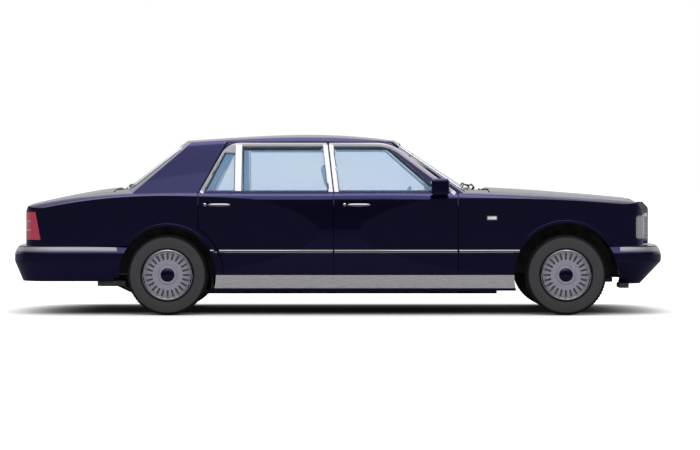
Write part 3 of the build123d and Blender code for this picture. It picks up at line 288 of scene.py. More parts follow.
def lens(name, color):
    """Moulded coloured lens with small pyramids behind its face."""
    return finish(
        name, color, 0.12, 0.0, 0.6, tint=(cells(160, 0), scaled(color, 0.75), scaled(color, 1.25)),
        relief=(cells(160, 0), 0.001, 0.5), coat_weight=0.6, alpha=0.9,
    )


def leather(name, color):
    """Grained hide: small cells and uneven dye."""
    return finish(
        name, color, 0.48, 0.0, 0.4, tint=(noise(18, 5), scaled(color, 0.82), color),
        gloss=(noise(30, 4), 0.4, 0.56), relief=(cells(420), 0.0005, 0.45), sheen_weight=0.08,
    )


def cloth(name, color, scale):
    """Woven or cut-pile cloth."""
    return finish(
        name, color, 0.9, 0.0, 0.2, tint=(noise(60, 6), scaled(color, 0.7), color),
        relief=(noise(scale, 4), 0.0012, 0.7), sheen_weight=0.25,
    )


PAINT = finish(
    "midnight_paint", (0.02, 0.02, 0.07), 0.24, 0.92, 0.3, coat_weight=0.3, coat_roughness=0.03,
    tint=(noise(900, 2), (0.020, 0.019, 0.074), (0.029, 0.027, 0.104)), gloss=(noise(6), 0.2, 0.26),
)
CHROME = finish("polished_chrome", (0.78, 0.79, 0.82), 0.08, 1.0, gloss=(noise(14, 5), 0.05, 0.13))
LONG_GRAIN = noise(220, 4, (0.04, 1, 1))
STEEL = finish(
    "satin_steel", (0.52, 0.50, 0.53), 0.3, 0.35, gloss=(LONG_GRAIN, 0.2, 0.34),
    relief=(LONG_GRAIN, 0.0001, 0.25),
)
POST = finish(
    "post_steel", (0.92, 0.92, 0.97), 0.34, 0.1, gloss=(noise(200, 4, (1, 1, 0.05)), 0.28, 0.4)
)
FRAME_STEEL = finish("frame_steel", (0.34, 0.33, 0.36), 0.28, 0.7, gloss=(noise(60, 4), 0.27, 0.30))
GLASS = finish(
    "tinted_glass", (0.40, 0.66, 1.0), 0.03, alpha=0.24,
    tint=(noise(1.5), (0.38, 0.64, 0.98), (0.42, 0.68, 1.0)),
)
LAMP_COVER = finish(
    "lamp_cover", (0.8, 0.84, 0.9), 0.04, relief=(waves("Y", Scale=60), 0.0006, 0.4), alpha=0.22
)
RED_LENS = lens("red_lens", (0.42, 0.05, 0.08))
CLEAR_LENS = lens("clear_lens", (0.7, 0.72, 0.75))
# Tyre rubber with painted light: side walls paler than the tread
TYRE = finish(
    "tyre_rubber", (0.02, 0.02, 0.022), 0.7, 0.0, 0.3, gloss=(noise(9, 6), 0.6, 0.8),
    tint=(painted_wall_light, (0.009, 0.009, 0.010), (0.045, 0.044, 0.049)), relief=(noise(500, 3), 0.0003, 0.4),
)
SEAL_BLACK = (0.012, 0.012, 0.013)
SEAL = finish(
    "seal_rubber", SEAL_BLACK, 0.7, 0.0, 0.35, tint=(noise(9, 6), SEAL_BLACK, scaled(SEAL_BLACK, 2.2)),
    relief=(noise(500, 3), 0.0003, 0.4),
)
ALLOY = finish(
    "silver_alloy", (0.5, 0.5, 0.55), 0.34, 0.25, coat_weight=0.4, coat_roughness=0.08,
    tint=(noise(700, 2), (0.30, 0.29, 0.35), (0.38, 0.37, 0.43)),
)
CAST = finish(
    "black_casting", (0.035, 0.035, 0.037), 0.55, 0.3, relief=(noise(260, 4), 0.0005, 0.5),
    tint=(noise(12, 5), (0.025, 0.025, 0.027), (0.07, 0.065, 0.06)),
)
EXHAUST = finish(
    "exhaust_steel", (0.3, 0.28, 0.26), 0.42, 1.0, tint=(noise(7, 5), (0.2, 0.17, 0.14), (0.4, 0.39, 0.38))
)
MOULDING = finish(
    "black_moulding", (0.02, 0.02, 0.022), 0.6, relief=(noise(420, 3), 0.0003, 0.5),
    tint=(noise(10, 4), (0.015, 0.015, 0.017), (0.035, 0.035, 0.038)),
)
UNDERBODY = finish(
    "underbody_sealer", (0.03, 0.03, 0.034), 0.75, relief=(noise(150, 5), 0.0008, 0.6),
    tint=(noise(8, 5), (0.02, 0.02, 0.023), (0.055, 0.052, 0.05)),
)
HIDE = leather("pale_hide", (0.42, 0.39, 0.34))
DARK_HIDE = leather("dark_hide", (0.02, 0.022, 0.035))
DASH = leather("dash_hide", (0.03, 0.032, 0.05))
HEADLINING = cloth("headlining_cloth", (0.5, 0.48, 0.44), 700)
CARPET = cloth("cut_pile_carpet", (0.03, 0.032, 0.055), 420)
VENEER = finish(
    "walnut_veneer", (0.2, 0.09, 0.035), 0.18, coat_weight=0.9,
    tint=(waves("X", Scale=7, Distortion=11, Detail=5), (0.09, 0.035, 0.014), (0.27, 0.13, 0.05)),
)
PLATE = finish(
    "blank_plate", (0.75, 0.75, 0.73), 0.35, tint=(noise(300, 2), (0.7, 0.7, 0.68), (0.78, 0.78, 0.76))
)
DIAL = finish(
    "dial_face", (0.02, 0.02, 0.02), 0.4, tint=(noise(90, 2), (0.012, 0.012, 0.012), (0.03, 0.03, 0.03))
)
MIRROR = finish("mirror_glass", (0.82, 0.85, 0.9), 0.02, 1.0, gloss=(noise(3), 0.015, 0.03))

NODE_MATERIALS = {"grille": CHROME, "sill_covers": STEEL, "tail_lamps": RED_LENS, "headlamps": LAMP_COVER}


def dress_nodes():
    """Gives each CAD node its finish; painted unless its name says otherwise."""
    kinds = {
        "glass_": GLASS, "windscreen": GLASS, "rear_window": GLASS, "knuckle_": CAST,
        "front_suspension": CAST, "rear_suspension": CAST, "drive_line": CAST, "engine": CAST,
        "exhaust": EXHAUST, "arch_liners": MOULDING, "floor_pan": UNDERBODY, "bulkhead": UNDERBODY,
        "rear_bulkhead": UNDERBODY, "front_seats": HIDE, "rear_seat": HIDE, "dashboard": DASH,
        "steering_wheel": DARK_HIDE, "steering_column": MOULDING, "tyre_": TYRE, "wheel_": ALLOY,
    }
    for name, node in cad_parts.items():
        material = NODE_MATERIALS.get(name, PAINT)
        for start, kind in kinds.items():
            if name.startswith(start):
                material = kind
        for place in range(max(1, len(node.data.materials))):
            if place < len(node.data.materials):
                node.data.materials[place] = material
            else:
                node.data.materials.append(material)


# Mesh tools


def add_piece(name, points, faces, material, body, angle=SMOOTH_ANGLE):
    """Makes a piece from points and faces, and lets it ride on a body."""
    mesh = bpy.data.meshes.new(name)
    mesh.from_pydata([tuple(point) for point in points], [], faces)
    work = bmesh.new()
    work.from_mesh(mesh)
    bmesh.ops.remove_doubles(work, verts=work.verts, dist=0.00001)
    bmesh.ops.recalc_face_normals(work, faces=work.faces)
    work.to_mesh(mesh)
    work.free()
    mesh.materials.append(material)
    mesh.shade_smooth()
    mesh.set_sharp_from_angle(angle=angle)
    piece = bpy.data.objects.new(name, mesh)
    bpy.context.scene.collection.objects.link(piece)
    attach(piece, body)
    return piece


def loft_faces(rows, row_length, closed_row, closed_run):
    """Faces of a skin over rows of points, with caps where the run is open."""
    faces = []
    last_row = rows if closed_run else rows - 1
    last_step = row_length if closed_row else row_length - 1
    for row in range(last_row):
        near, far = row * row_length, (row + 1) % rows * row_length
        for step in range(last_step):
            after = (step + 1) % row_length
            faces.append((near + step, near + after, far + after, far + step))
    if closed_row and not closed_run:
        faces.append(tuple(range(row_length)))
        faces.append(tuple(range((rows - 1) * row_length, rows * row_length)))
    return faces


def loft(name, rows, material, body, closed_run=False, closed_row=True):
    """Piece skinned over rows of points, each row one cross section."""
    points = [point for row in rows for point in row]
    faces = loft_faces(len(rows), len(rows[0]), closed_row, closed_run)
    return add_piece(name, points, faces, material, body)


def joined(name, parts, material, body, angle=SMOOTH_ANGLE):
    """Piece made of several lofts or solids, each given as points and faces."""
    points, faces = [], []
    for part_points, part_faces in parts:
        base = len(points)
        points += part_points
        faces += [tuple(base + index for index in face) for face in part_faces]
    return add_piece(name, points, faces, material, body, angle)


def turned(centre, axis, section, steps=48, closed_section=True):
    """Points and faces of a section of (radius, place along the axis) turned about an axis."""
    side = axis.orthogonal().normalized()
    other = axis.cross(side)
    points = []
    for step in range(steps):
        angle = tau * step / steps
        way = side * cos(angle) + other * sin(angle)
        points += [centre + way * radius + axis * along for radius, along in section]
    faces = loft_faces(steps, len(section), closed_section, True)
    return points, faces


def rod(start, end, radius, steps=16, end_radius=None):
    """Points and faces of a round bar between two points."""
    end_radius = radius if end_radius is None else end_radius
    axis = (end - start).normalized()
    run = (end - start).length
    return turned(start, axis, [(0, 0), (radius, 0), (end_radius, run), (0, run)], steps)


def tube_along(path, radius, steps=12):
    """Points and faces of a round bar along several points."""
    rows = []
    for index, point in enumerate(path):
        ahead = path[min(index + 1, len(path) - 1)] - path[max(index - 1, 0)]
        ahead.normalize()
        side = ahead.cross(Z) if abs(ahead.z) < 0.9 else ahead.cross(X)
        side.normalize()
        up = side.cross(ahead)
        rows.append(
            [
                point + side * radius * cos(tau * step / steps) + up * radius * sin(tau * step / steps)
                for step in range(steps)
            ]
        )
    points = [point for row in rows for point in row]
    return points, loft_faces(len(rows), steps, True, False)


def pillow(centre, half, turn, radius, crown=0.0, pleats=(), pleat_depth=0.006, steps=18):
    """Points and faces of a stuffed box: rounded edges, a crowned top and sewn pleats across Y."""
    points, faces = [], []
    inner = [max(value - radius, 0.0001) for value in half]
    pleat_width = 0.035
    for axis in range(3):
        for way in (-1, 1):
            base = len(points)
            for row in range(steps + 1):
                for column in range(steps + 1):
                    share = [0, 0, 0]
                    share[axis] = way
                    share[(axis + 1) % 3] = 2 * row / steps - 1
                    share[(axis + 2) % 3] = 2 * column / steps - 1
                    full = Vector([share[i] * half[i] for i in range(3)])
                    core = Vector([max(-inner[i], min(inner[i], full[i])) for i in range(3)])
                    out = (full - core).normalized() * radius
                    point = core + out
                    swell = (1 - share[0] ** 2) * (1 - share[1] ** 2)
                    if share[2] > 0:
                        point.z += crown * swell * share[2]
                    if share[2] > 0.99:
                        for pleat in pleats:
                            near = (share[1] - pleat) / pleat_width
                            point.z -= pleat_depth * exp(-near * near) * (1 - share[0] ** 4)
                    points.append(centre + turn @ point)
            for row in range(steps):
                for column in range(steps):
                    corner = base + row * (steps + 1) + column
                    faces.append((corner, corner + 1, corner + steps + 2, corner + steps + 1))
    return points, faces


def plain_box(low, high, edge=0.003, turn=Matrix.Identity(3)):
    """Points and faces of a box with softened edges."""
    low, high = Vector(low), Vector(high)
    return pillow((low + high) / 2, (high - low) / 2, turn, min(edge, min((high - low) / 2)), steps=6)


def surface(*names):
    """Search tree over the rest shapes of CAD nodes."""
    points, faces = [], []
    for name in names:
        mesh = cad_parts[name].data
        base = len(points)
        points += [vertex.co.copy() for vertex in mesh.vertices]
        faces += [[base + index for index in face.vertices] for face in mesh.polygons]
    return BVHTree.FromPolygons(points, faces)


class Chart:
    """Flat view of a curved skin: places (a, b) in a plane, dropped on the skin along its normal."""

    def __init__(self, tree, origin, across, up, out):
        self.tree = tree
        self.origin = Vector(origin)
        self.across = Vector(across).normalized()
        self.up = Vector(up).normalized()
        self.out = Vector(out).normalized()

    def drop(self, a, b, lift=0.0):
        """Point of the skin at (a, b), raised by lift along the skin's normal."""
        flat = self.origin + self.across * a + self.up * b
        point, normal, _, _ = self.tree.ray_cast(flat + self.out * FAR, -self.out)
        if point is None:
            point, normal, _, _ = self.tree.find_nearest(flat)
        if normal.dot(self.out) < 0:
            normal = -normal
        return point + normal * lift

    def flat(self, point):
        """Place (a, b) of a point."""
        offset = point - self.origin
        return Vector((offset.dot(self.across), offset.dot(self.up)))


def side_chart(way, *names):
    """Chart of a side of the car: a is X and b is Z."""
    return Chart(surface(*names), (0, way * 0.8, 0), X, Z, Y * way)


BAND_SHARES = ((0.0, -0.6), (0.03, 0.5), (0.2, 0.9), (0.5, 1.0), (0.8, 0.9), (0.97, 0.5), (1.0, -0.6))


def band_row(chart, start, end, rise):
    """Cross section of a flat moulding between two places on a chart."""
    return [chart.drop(*start.lerp(end, share), rise * height) for share, height in BAND_SHARES]


def strip(name, chart, ends, height, width, rise, material, body, pitch=0.05):
    """Level moulding along a chart from ends[0] to ends[1] at a height."""
    start, end = ends
    count = max(2, round(abs(end - start) / pitch))
    rows = []
    for index in range(count + 1):
        a = start + (end - start) * index / count
        rows.append(band_row(chart, Vector((a, height - width / 2)), Vector((a, height + width / 2)), rise))
    return loft(name, rows, material, body)


def patch(name, chart, corners, rise, material, body, steps=(10, 10)):
    """Thin cover over a four-cornered place on a chart, its edges turned down to the skin."""
    low_left, low_right, high_right, high_left = [Vector(corner) for corner in corners]
    rows, columns = steps
    grid = []
    for row in range(rows + 1):
        share = row / rows
        left, right = low_left.lerp(high_left, share), low_right.lerp(high_right, share)
        edge_row = row in (0, rows)
        line = []
        for column in range(columns + 1):
            place = left.lerp(right, column / columns)
            line.append(chart.drop(*place, rise))
        foot_left, foot_right = chart.drop(*left, -rise), chart.drop(*right, -rise)
        line = [foot_left] + line + [foot_right]
        if edge_row:
            feet = [
                chart.drop(*left.lerp(right, column / columns), -rise) for column in range(columns + 1)
            ]
            feet = [foot_left] + feet + [foot_right]
            grid += [feet, line] if row == 0 else [line, feet]
        else:
            grid.append(line)
    return loft(name, grid, material, body, closed_row=False)


def corners_of(middle, half):
    """Corners of a level rectangle on a chart, from its middle and half sizes."""
    signs = ((-1, -1), (1, -1), (1, 1), (-1, 1))
    return [(middle[0] + a * half[0], middle[1] + b * half[1]) for a, b in signs]


def hull_of(points, chart):
    """Outline of points as the chart sees them: a ring of places, all bulging outward."""
    flat = [chart.flat(point) for point in points]
    return [flat[index] for index in convex_hull_2d(flat)]


def even_ring(ring, pitch=0.012):
    """The same ring with places about evenly spaced."""
    result = []
    for index, start in enumerate(ring):
        end = ring[(index + 1) % len(ring)]
        count = max(1, round((end - start).length / pitch))
        result += [start.lerp(end, step / count) for step in range(count)]
    return result


def ring_normals(ring):
    """Outward normal at each place of a ring."""
    middle = sum(ring, Vector((0, 0))) / len(ring)
    normals = []
    for index, place in enumerate(ring):
        run = ring[(index + 1) % len(ring)] - ring[index - 1]
        normal = Vector((run.y, -run.x)).normalized()
        normals.append(normal if normal.dot(place - middle) > 0 else -normal)
    return normals


def frame_band(name, chart, ring, start, widths, rise, material, body):
    """Moulding all round an outline; widths are those above, below, ahead of and behind it."""
    above, below, ahead, behind = widths
    normals = ring_normals(ring)
    rows = []
    for place, normal in zip(ring, normals):
        level = ahead if normal.x > 0 else behind
        upright = above if normal.y > 0 else below
        width = upright * normal.y ** 2 + level * normal.x ** 2
        rows.append(band_row(chart, place - normal * start, place + normal * (start - width), rise))
    return loft(name, rows, material, body, closed_run=True)


def rounded_run(corners, radius, pitch=0.02):
    """Open run of places from the first corner to the last, rounded at the one between."""
    before, corner, after = (Vector(place) for place in corners)
    start = corner + (before - corner).normalized() * radius
    end = corner + (after - corner).normalized() * radius
    places = [before]
    for step in range(9):
        share = step / 8
        places.append(start.lerp(corner, share).lerp(corner.lerp(end, share), share))
    places.append(after)
    run = []
    for start, end in zip(places, places[1:]):
        count = max(1, round((end - start).length / pitch))
        run += [start.lerp(end, step / count) for step in range(count)]
    return run + [places[-1]]


def run_band(name, chart, run, width, rise, material, body):
    """Moulding that hangs below or inside an open run of places by its width."""
    rows = []
    for index, place in enumerate(run):
        ahead = run[min(index + 1, len(run) - 1)] - run[max(index - 1, 0)]
        inward = Vector((ahead.y, -ahead.x)).normalized()
        rows.append(band_row(chart, place, place + inward * width, rise))
    return loft(name, rows, material, body)


# Sizes shared by the trim

HUB = {
    end: (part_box(f"tyre_{end}_left")[0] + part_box(f"tyre_{end}_left")[1]) / 2 for end in ENDS
}
TYRE_RADIUS = (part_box("tyre_front_left")[1].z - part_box("tyre_front_left")[0].z) / 2
QUARTER_BAR_X = -0.842
WAIST_STRIP_HEIGHT = 0.540
STRIP_WIDTH = 0.026
STRIP_RISE = 0.007
HANDLE_HEIGHT = 0.931
HANDLE_HALF = 0.095
HANDLE_STAND = 0.026
HANDLE_BAR = 0.011
REPEATER_PLACE = (1.300, 0.822)
FRONT_ARCH_RADIUS = 0.438
REAR_ARCH_RADIUS = 0.410
REAR_DOOR_ARCH_RADIUS = 0.478
SHUT_GAP = 0.008
SHUT_SPACE = 0.003
ARCH_SPACE = 0.004
LIP_STEPS = 60
LIP_EDGES = (0.002, 0.026)
LIP_RISE = 0.006
FRAME_EDGE = 0.003
FRAME_WIDTH = 0.034
FRAME_RISE = 0.005
FRAME_FOOT_HEIGHT = 1.037
FRAME_CORNER_RADII = {"front": 0.12, "rear": 0.11}
FRONT_HEAD_REAR_X = -0.076
FRONT_HEAD_X = 0.450
FRONT_FOOT_X = 1.004
REAR_FOOT_X = -1.170
REAR_HEAD_X = -0.940
REAR_HEAD_FRONT_X = -0.094
SEAL_START = 0.006
SEAL_RISE = 0.003
# Panes of each door, and each pane's rubber widths above, below, ahead and behind (tops partly painted shade)
DOOR_PANES = {"front": ("front",), "rear": ("rear", "quarter")}
SEAL_AND_SHADE_WIDTHS = {
    "front": (0.030, 0.010, 0.030, 0.012),
    "rear": (0.034, 0.010, 0.012, 0.020),
    "quarter": (0.024, 0.010, 0.008, 0.020),
}
POST_FOOT = 1.040
POST_RISE = 0.0065
# First and last X of each door's post plate at its foot and at its head
POST_ENDS = {"front": (-0.029, 0.007, -0.076, -0.040), "rear": (-0.079, -0.041, -0.127, -0.089)}
QUARTER_BAR_ENDS = (-0.870, -0.816)
QUARTER_BAR_FOOT = 1.048


def glass_rings(side, chart):
    """Outlines of the three panes on one side: front door, rear door and quarter light."""
    front = [vertex.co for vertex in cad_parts[f"glass_front_{side}"].data.vertices]
    rear = [vertex.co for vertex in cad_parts[f"glass_rear_{side}"].data.vertices]
    panes = (
        front,
        [point for point in rear if point.x > QUARTER_BAR_X],
        [point for point in rear if point.x < QUARTER_BAR_X],
    )
    rings = [even_ring(hull_of(pane, chart)) for pane in panes]
    return dict(zip(("front", "rear", "quarter"), rings))


def add_window_frames():
    """Bright runs along the door tops, and dark rubber round each pane, its wide top partly painted shade."""
    for side, way in SIDES:
        for door in ENDS:
            chart = side_chart(way, f"door_{door}_{side}")
            body = f"{door}_{side}_door"
            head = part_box(f"door_{door}_{side}")[1].z - FRAME_EDGE
            if door == "front":
                first, last = (FRONT_HEAD_REAR_X, head), (FRONT_FOOT_X, FRAME_FOOT_HEIGHT)
                corners = (first, (FRONT_HEAD_X, head), last)
            else:
                first, last = (REAR_FOOT_X, FRAME_FOOT_HEIGHT), (REAR_HEAD_FRONT_X, head)
                corners = (first, (REAR_HEAD_X, head), last)
            run = rounded_run(corners, FRAME_CORNER_RADII[door])
            run_band(f"{door}_frame_{side}", chart, run, FRAME_WIDTH, FRAME_RISE, FRAME_STEEL, body)
            glass = side_chart(way, f"glass_{door}_{side}", f"door_{door}_{side}")
            rings = glass_rings(side, chart)
            for pane in DOOR_PANES[door]:
                # Pane rubbers: real rubber, their wide tops also painted shade of the header behind the glass
                frame_band(
                    f"{pane}_seal_and_shade_{side}", glass, rings[pane], SEAL_START, SEAL_AND_SHADE_WIDTHS[pane],
                    SEAL_RISE, SEAL, body,
                )


def add_posts():
    """Bright plates on both halves of the centre post and on the quarter light's bar."""
    for side, way in SIDES:
        for door in ENDS:
            chart = side_chart(way, f"door_{door}_{side}")
            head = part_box(f"door_{door}_{side}")[1].z - FRAME_EDGE - FRAME_WIDTH * 0.5
            foot_low, foot_high, head_low, head_high = POST_ENDS[door]
            corners = ((foot_low, POST_FOOT), (foot_high, POST_FOOT), (head_high, head), (head_low, head))
            patch(f"{door}_post_{side}", chart, corners, POST_RISE, POST, f"{door}_{side}_door", (16, 4))
        low, high = QUARTER_BAR_ENDS
        corners = ((low, QUARTER_BAR_FOOT), (high, QUARTER_BAR_FOOT), (high, head), (low, head))
        chart = side_chart(way, f"door_rear_{side}")
        patch(f"quarter_bar_{side}", chart, corners, POST_RISE, POST, f"rear_{side}_door", (16, 5))


def strip_stop(end, radius, way):
    """X at which the waist strip meets an arch of that radius, ahead (1) or behind (-1) of the hub."""
    hub = HUB[end]
    return hub.x + way * sqrt(radius ** 2 - (WAIST_STRIP_HEIGHT - hub.z) ** 2)


def add_waist_strips():
    """Thin bright moulding between the wheel arches, cut at each shut line."""
    for side, way in SIDES:
        rear_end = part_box(f"door_rear_{side}")[1].x
        front_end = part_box(f"door_front_{side}")[1].x
        wing_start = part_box(f"front_wing_{side}")[0].x
        arch_end = strip_stop("rear", REAR_ARCH_RADIUS, 1)
        door_start = strip_stop("rear", REAR_DOOR_ARCH_RADIUS, 1)
        wing_end = strip_stop("front", FRONT_ARCH_RADIUS, -1)
        for node, body, start, end in (
            (f"body_side_{side}", "body", arch_end + ARCH_SPACE, door_start - 3 * ARCH_SPACE),
            (f"door_rear_{side}", f"rear_{side}_door", door_start + ARCH_SPACE, rear_end - SHUT_SPACE),
            (f"door_front_{side}", f"front_{side}_door", rear_end + SHUT_GAP + SHUT_SPACE,
             front_end - SHUT_SPACE),
            (f"front_wing_{side}", "body", wing_start + SHUT_SPACE, wing_end - ARCH_SPACE),
        ):
            strip(
                f"waist_strip_{node}", side_chart(way, node), (start, end), WAIST_STRIP_HEIGHT,
                STRIP_WIDTH, STRIP_RISE, CHROME, body,
            )


def add_arch_lips():
    """Rolled lip round each wheel arch."""
    for side, way in SIDES:
        for end, radius, node, first, last in (
            ("front", FRONT_ARCH_RADIUS, f"front_wing_{side}", 146, 2),
            ("rear", REAR_ARCH_RADIUS, f"body_side_{side}", 38, 178),
        ):
            chart = side_chart(way, node)
            hub = Vector((HUB[end].x, HUB[end].z))
            rows = []
            for step in range(LIP_STEPS + 1):
                angle = radians(first + (last - first) * step / LIP_STEPS)
                out = Vector((cos(angle), sin(angle)))
                inner, outer = (hub + out * (radius + edge) for edge in LIP_EDGES)
                rows.append(band_row(chart, inner, outer, LIP_RISE))
            loft(f"arch_lip_{end}_{side}", rows, PAINT, "body")


def handle(name, chart, middle_x, body):
    """Pull handle on two feet, with its thumb button, and the shade under it."""
    rows = []
    for step in range(25):
        share = 2 * step / 24 - 1
        place = chart.drop(middle_x + HANDLE_HALF * share, HANDLE_HEIGHT)
        lift = chart.out * HANDLE_STAND * (1 - 0.62 * share ** 6)
        slim = HANDLE_BAR * (1 - 0.35 * share ** 4)
        row = []
        for corner in range(12):
            angle = tau * corner / 12
            round_bar = chart.up * cos(angle) + chart.out * 0.55 * sin(angle)
            row.append(place + lift + round_bar * slim)
        rows.append(row)
    points = [point for row in rows for point in row]
    parts = [(points, loft_faces(len(rows), 12, True, False))]
    for share in (-0.86, 0.86):
        foot = chart.drop(middle_x + HANDLE_HALF * share, HANDLE_HEIGHT, -0.002)
        parts.append(rod(foot, foot + chart.out * HANDLE_STAND * 0.8, 0.012, 20, 0.009))
    button = chart.drop(middle_x - HANDLE_HALF * 1.28, HANDLE_HEIGHT, -0.002)
    button_rows = [(0, 0), (0.014, 0), (0.014, 0.006), (0.01, 0.01), (0, 0.011)]
    parts.append(turned(button, chart.out, button_rows, 24))
    joined(name, parts, CHROME, body)
    points = [chart.drop(middle_x, HANDLE_HEIGHT) + chart.out * 0.0008]
    for corner in range(32):
        angle = tau * corner / 32
        points.append(chart.drop(middle_x + 0.055 * cos(angle), HANDLE_HEIGHT + 0.017 * sin(angle), 0.0012))
    faces = [(0, corner + 1, (corner + 1) % 32 + 1) for corner in range(32)]
    add_piece(f"{name}_shade", points, faces, MOULDING, body)


def add_handles():
    """Four door handles."""
    for side, way in SIDES:
        for door, middle_x in (("front", 0.179), ("rear", -1.000)):
            chart = side_chart(way, f"door_{door}_{side}")
            handle(f"handle_{door}_{side}", chart, middle_x, f"{door}_{side}_door")


def add_repeaters():
    """Small side lamps in bright bezels on the front wings."""
    for side, way in SIDES:
        chart = side_chart(way, f"front_wing_{side}")
        for label, half, rise, material in (
            ("bezel", (0.045, 0.019), 0.004, CHROME),
            ("lens", (0.037, 0.012), 0.008, CLEAR_LENS),
        ):
            corners = corners_of(REPEATER_PLACE, half)
            patch(f"repeater_{label}_{side}", chart, corners, rise, material, "body", (4, 8))


# Wheels

TREAD_HALF = 0.088
TREAD_PITCHES = 72
GROOVE_DEPTH = 0.007
WALL_RADIUS = 0.272
WALL_HEIGHT = 0.058
WALL_PLACE = 0.0965
WALL_BULGE = 0.020
# First and last place of each running rib, from the outer one inward
RIBS = ((0.066, TREAD_HALF), (0.028, 0.058), (0.0, 0.020))
SLOT_DEPTHS = {"block": GROOVE_DEPTH * 0.8, "shoulder": GROOVE_DEPTH * 0.8, "rib": GROOVE_DEPTH * 0.25}


def hub_of(end, way):
    """Middle of a wheel."""
    return Vector((HUB[end].x, way * abs(HUB[end].y), HUB[end].z))


def tyre_section():
    """Half of the tyre's section from bead to middle: radius, place along the axle, kind."""
    rows = [(0.2135, 0.098, "bead"), (0.2195, 0.104, "bead")]
    for step in range(13):
        angle = radians(-62 + 122 * step / 12)
        bulge = WALL_PLACE + WALL_BULGE * cos(angle) ** 0.8
        rows.append((WALL_RADIUS + WALL_HEIGHT * sin(angle), bulge, "wall"))
    rows.append((TYRE_RADIUS - 0.012, TREAD_HALF + 0.014, "shoulder"))
    rows.append((TYRE_RADIUS - 0.004, TREAD_HALF + 0.004, "shoulder"))
    for low, high in RIBS:
        kind = "block" if high == TREAD_HALF else "rib"
        rows.append((TYRE_RADIUS - 0.001, high, kind))
        rows.append((TYRE_RADIUS, (low + high) / 2, kind))
        if low > 0:
            rows.append((TYRE_RADIUS, low, kind))
            rows.append((TYRE_RADIUS - GROOVE_DEPTH, low - 0.001, "groove"))
            rows.append((TYRE_RADIUS - GROOVE_DEPTH, low - 0.007, "groove"))
    return rows


def tyre_piece(end, side, way):
    """Tyre with running grooves and slotted shoulders."""
    half = tyre_section()
    section = half + [(radius, -place, kind) for radius, place, kind in reversed(half[:-1])]
    hub = hub_of(end, way)
    steps = TREAD_PITCHES * 4
    points = []
    for step in range(steps):
        angle = tau * step / steps
        for radius, place, kind in section:
            reach = radius - (SLOT_DEPTHS.get(kind, 0.0) if step % 4 == 0 else 0.0)
            points.append(hub + Vector((reach * cos(angle), place, reach * sin(angle))))
    count = len(section)
    faces = loft_faces(steps, count, False, True)
    for step in range(steps):
        first, after = step * count, (step + 1) % steps * count
        faces.append((first, first + count - 1, after + count - 1, after))
    piece = add_piece(
        f"treaded_tyre_{end}_{side}", points, faces, TYRE, f"{end}_{side}_wheel", radians(30)
    )
    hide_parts(f"tyre_{end}_{side}")


def wheel_trim(end, side, way):
    """Bright rim edge, the ring round the hub and the plain painted cap."""
    hub = hub_of(end, way)
    axis = Y * way
    outer = max(abs(corner.y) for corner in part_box(f"wheel_{end}_{side}")) - abs(hub.y)
    body = f"{end}_{side}_wheel"
    backing = turned(hub, axis, [(0.10, 0.030), (0.192, 0.030), (0.192, 0.040), (0.10, 0.040)], 72)
    joined(f"slot_backing_{end}_{side}", [backing], ALLOY, body)
    edge = turned(
        hub, axis, [(0.196, outer - 0.006), (0.2, outer + 0.001), (0.2065, outer + 0.0035),
                    (0.2125, outer + 0.001), (0.2125, outer - 0.008)], 96,
    )
    ring = turned(
        hub, axis, [(0.058, 0.068), (0.058, 0.087), (0.064, 0.09), (0.075, 0.086), (0.08, 0.07)], 72
    )
    joined(f"rim_edge_{end}_{side}", [edge], CHROME, body)
    joined(f"hub_ring_{end}_{side}", [ring], ALLOY, body)
    cap = turned(
        hub, axis, [(0, 0.07), (0.0575, 0.07), (0.0575, 0.088), (0.05, 0.096), (0.03, 0.101), (0, 0.103)], 64
    )
    joined(f"hub_cap_{end}_{side}", [cap], PAINT, body)
    valve_foot = hub + Vector((0.193, 0, 0.0)) + axis * (outer - 0.03)
    joined(f"valve_{end}_{side}", [rod(valve_foot, valve_foot + axis * 0.028, 0.004)], MOULDING, body)


def add_wheels():
    """Tyres and trim of the four wheels."""
    for end in ENDS:
        for side, way in SIDES:
            tyre_piece(end, side, way)
            wheel_trim(end, side, way)


# Lamps, bumpers and screens

BUMPER_STRIP_HEIGHT = 0.555
BUMPER_STRIP_WIDTH = 0.040
LAMP_MIDDLE = 0.741


def ring_rows(tree, centre, angles, height, width, rise, count=90):
    """Cross sections of a level moulding that wraps round a bumper."""
    first, last = angles
    rows = []
    for step in range(count + 1):
        angle = radians(first + (last - first) * step / count)
        way = Vector((cos(angle), sin(angle), 0))
        row = []
        for share, lift in BAND_SHARES:
            level = centre + Z * (height + width * (share - 0.5))
            row.append(tree.ray_cast(level + way * FAR, -way)[0] + way * rise * lift)
        rows.append(row)
    return rows


def add_bumper_strips():
    """Bright mouldings along the tops of both bumpers."""
    for end, centre, angles in (
        ("front", Vector((2.35, 0, 0)), (-88, 88)),
        ("rear", Vector((-2.35, 0, 0)), (62, 298)),
    ):
        tree = surface(f"{end}_bumper")
        rows = ring_rows(tree, centre, angles, BUMPER_STRIP_HEIGHT, BUMPER_STRIP_WIDTH, 0.006)
        loft(f"bumper_strip_{end}", rows, FRAME_STEEL, "body")


def add_plates():
    """Blank number plates in thin frames, front and rear."""
    for label, node, x, out, height in (
        ("front", "front_bumper", 2.5, X, 0.43),
        ("rear", "boot_lid", -2.5, -X, 0.70),
    ):
        body = "body" if label == "front" else "boot_body"
        chart = Chart(surface(node), (x, 0, 0), Y, Z, out)
        for part, half, rise, material in (
            ("surround", (0.268, 0.064), 0.010, MOULDING),
            ("plate", (0.26, 0.056), 0.013, PLATE),
        ):
            patch(f"{label}_{part}", chart, corners_of((0, height), half), rise, material, body, (4, 12))


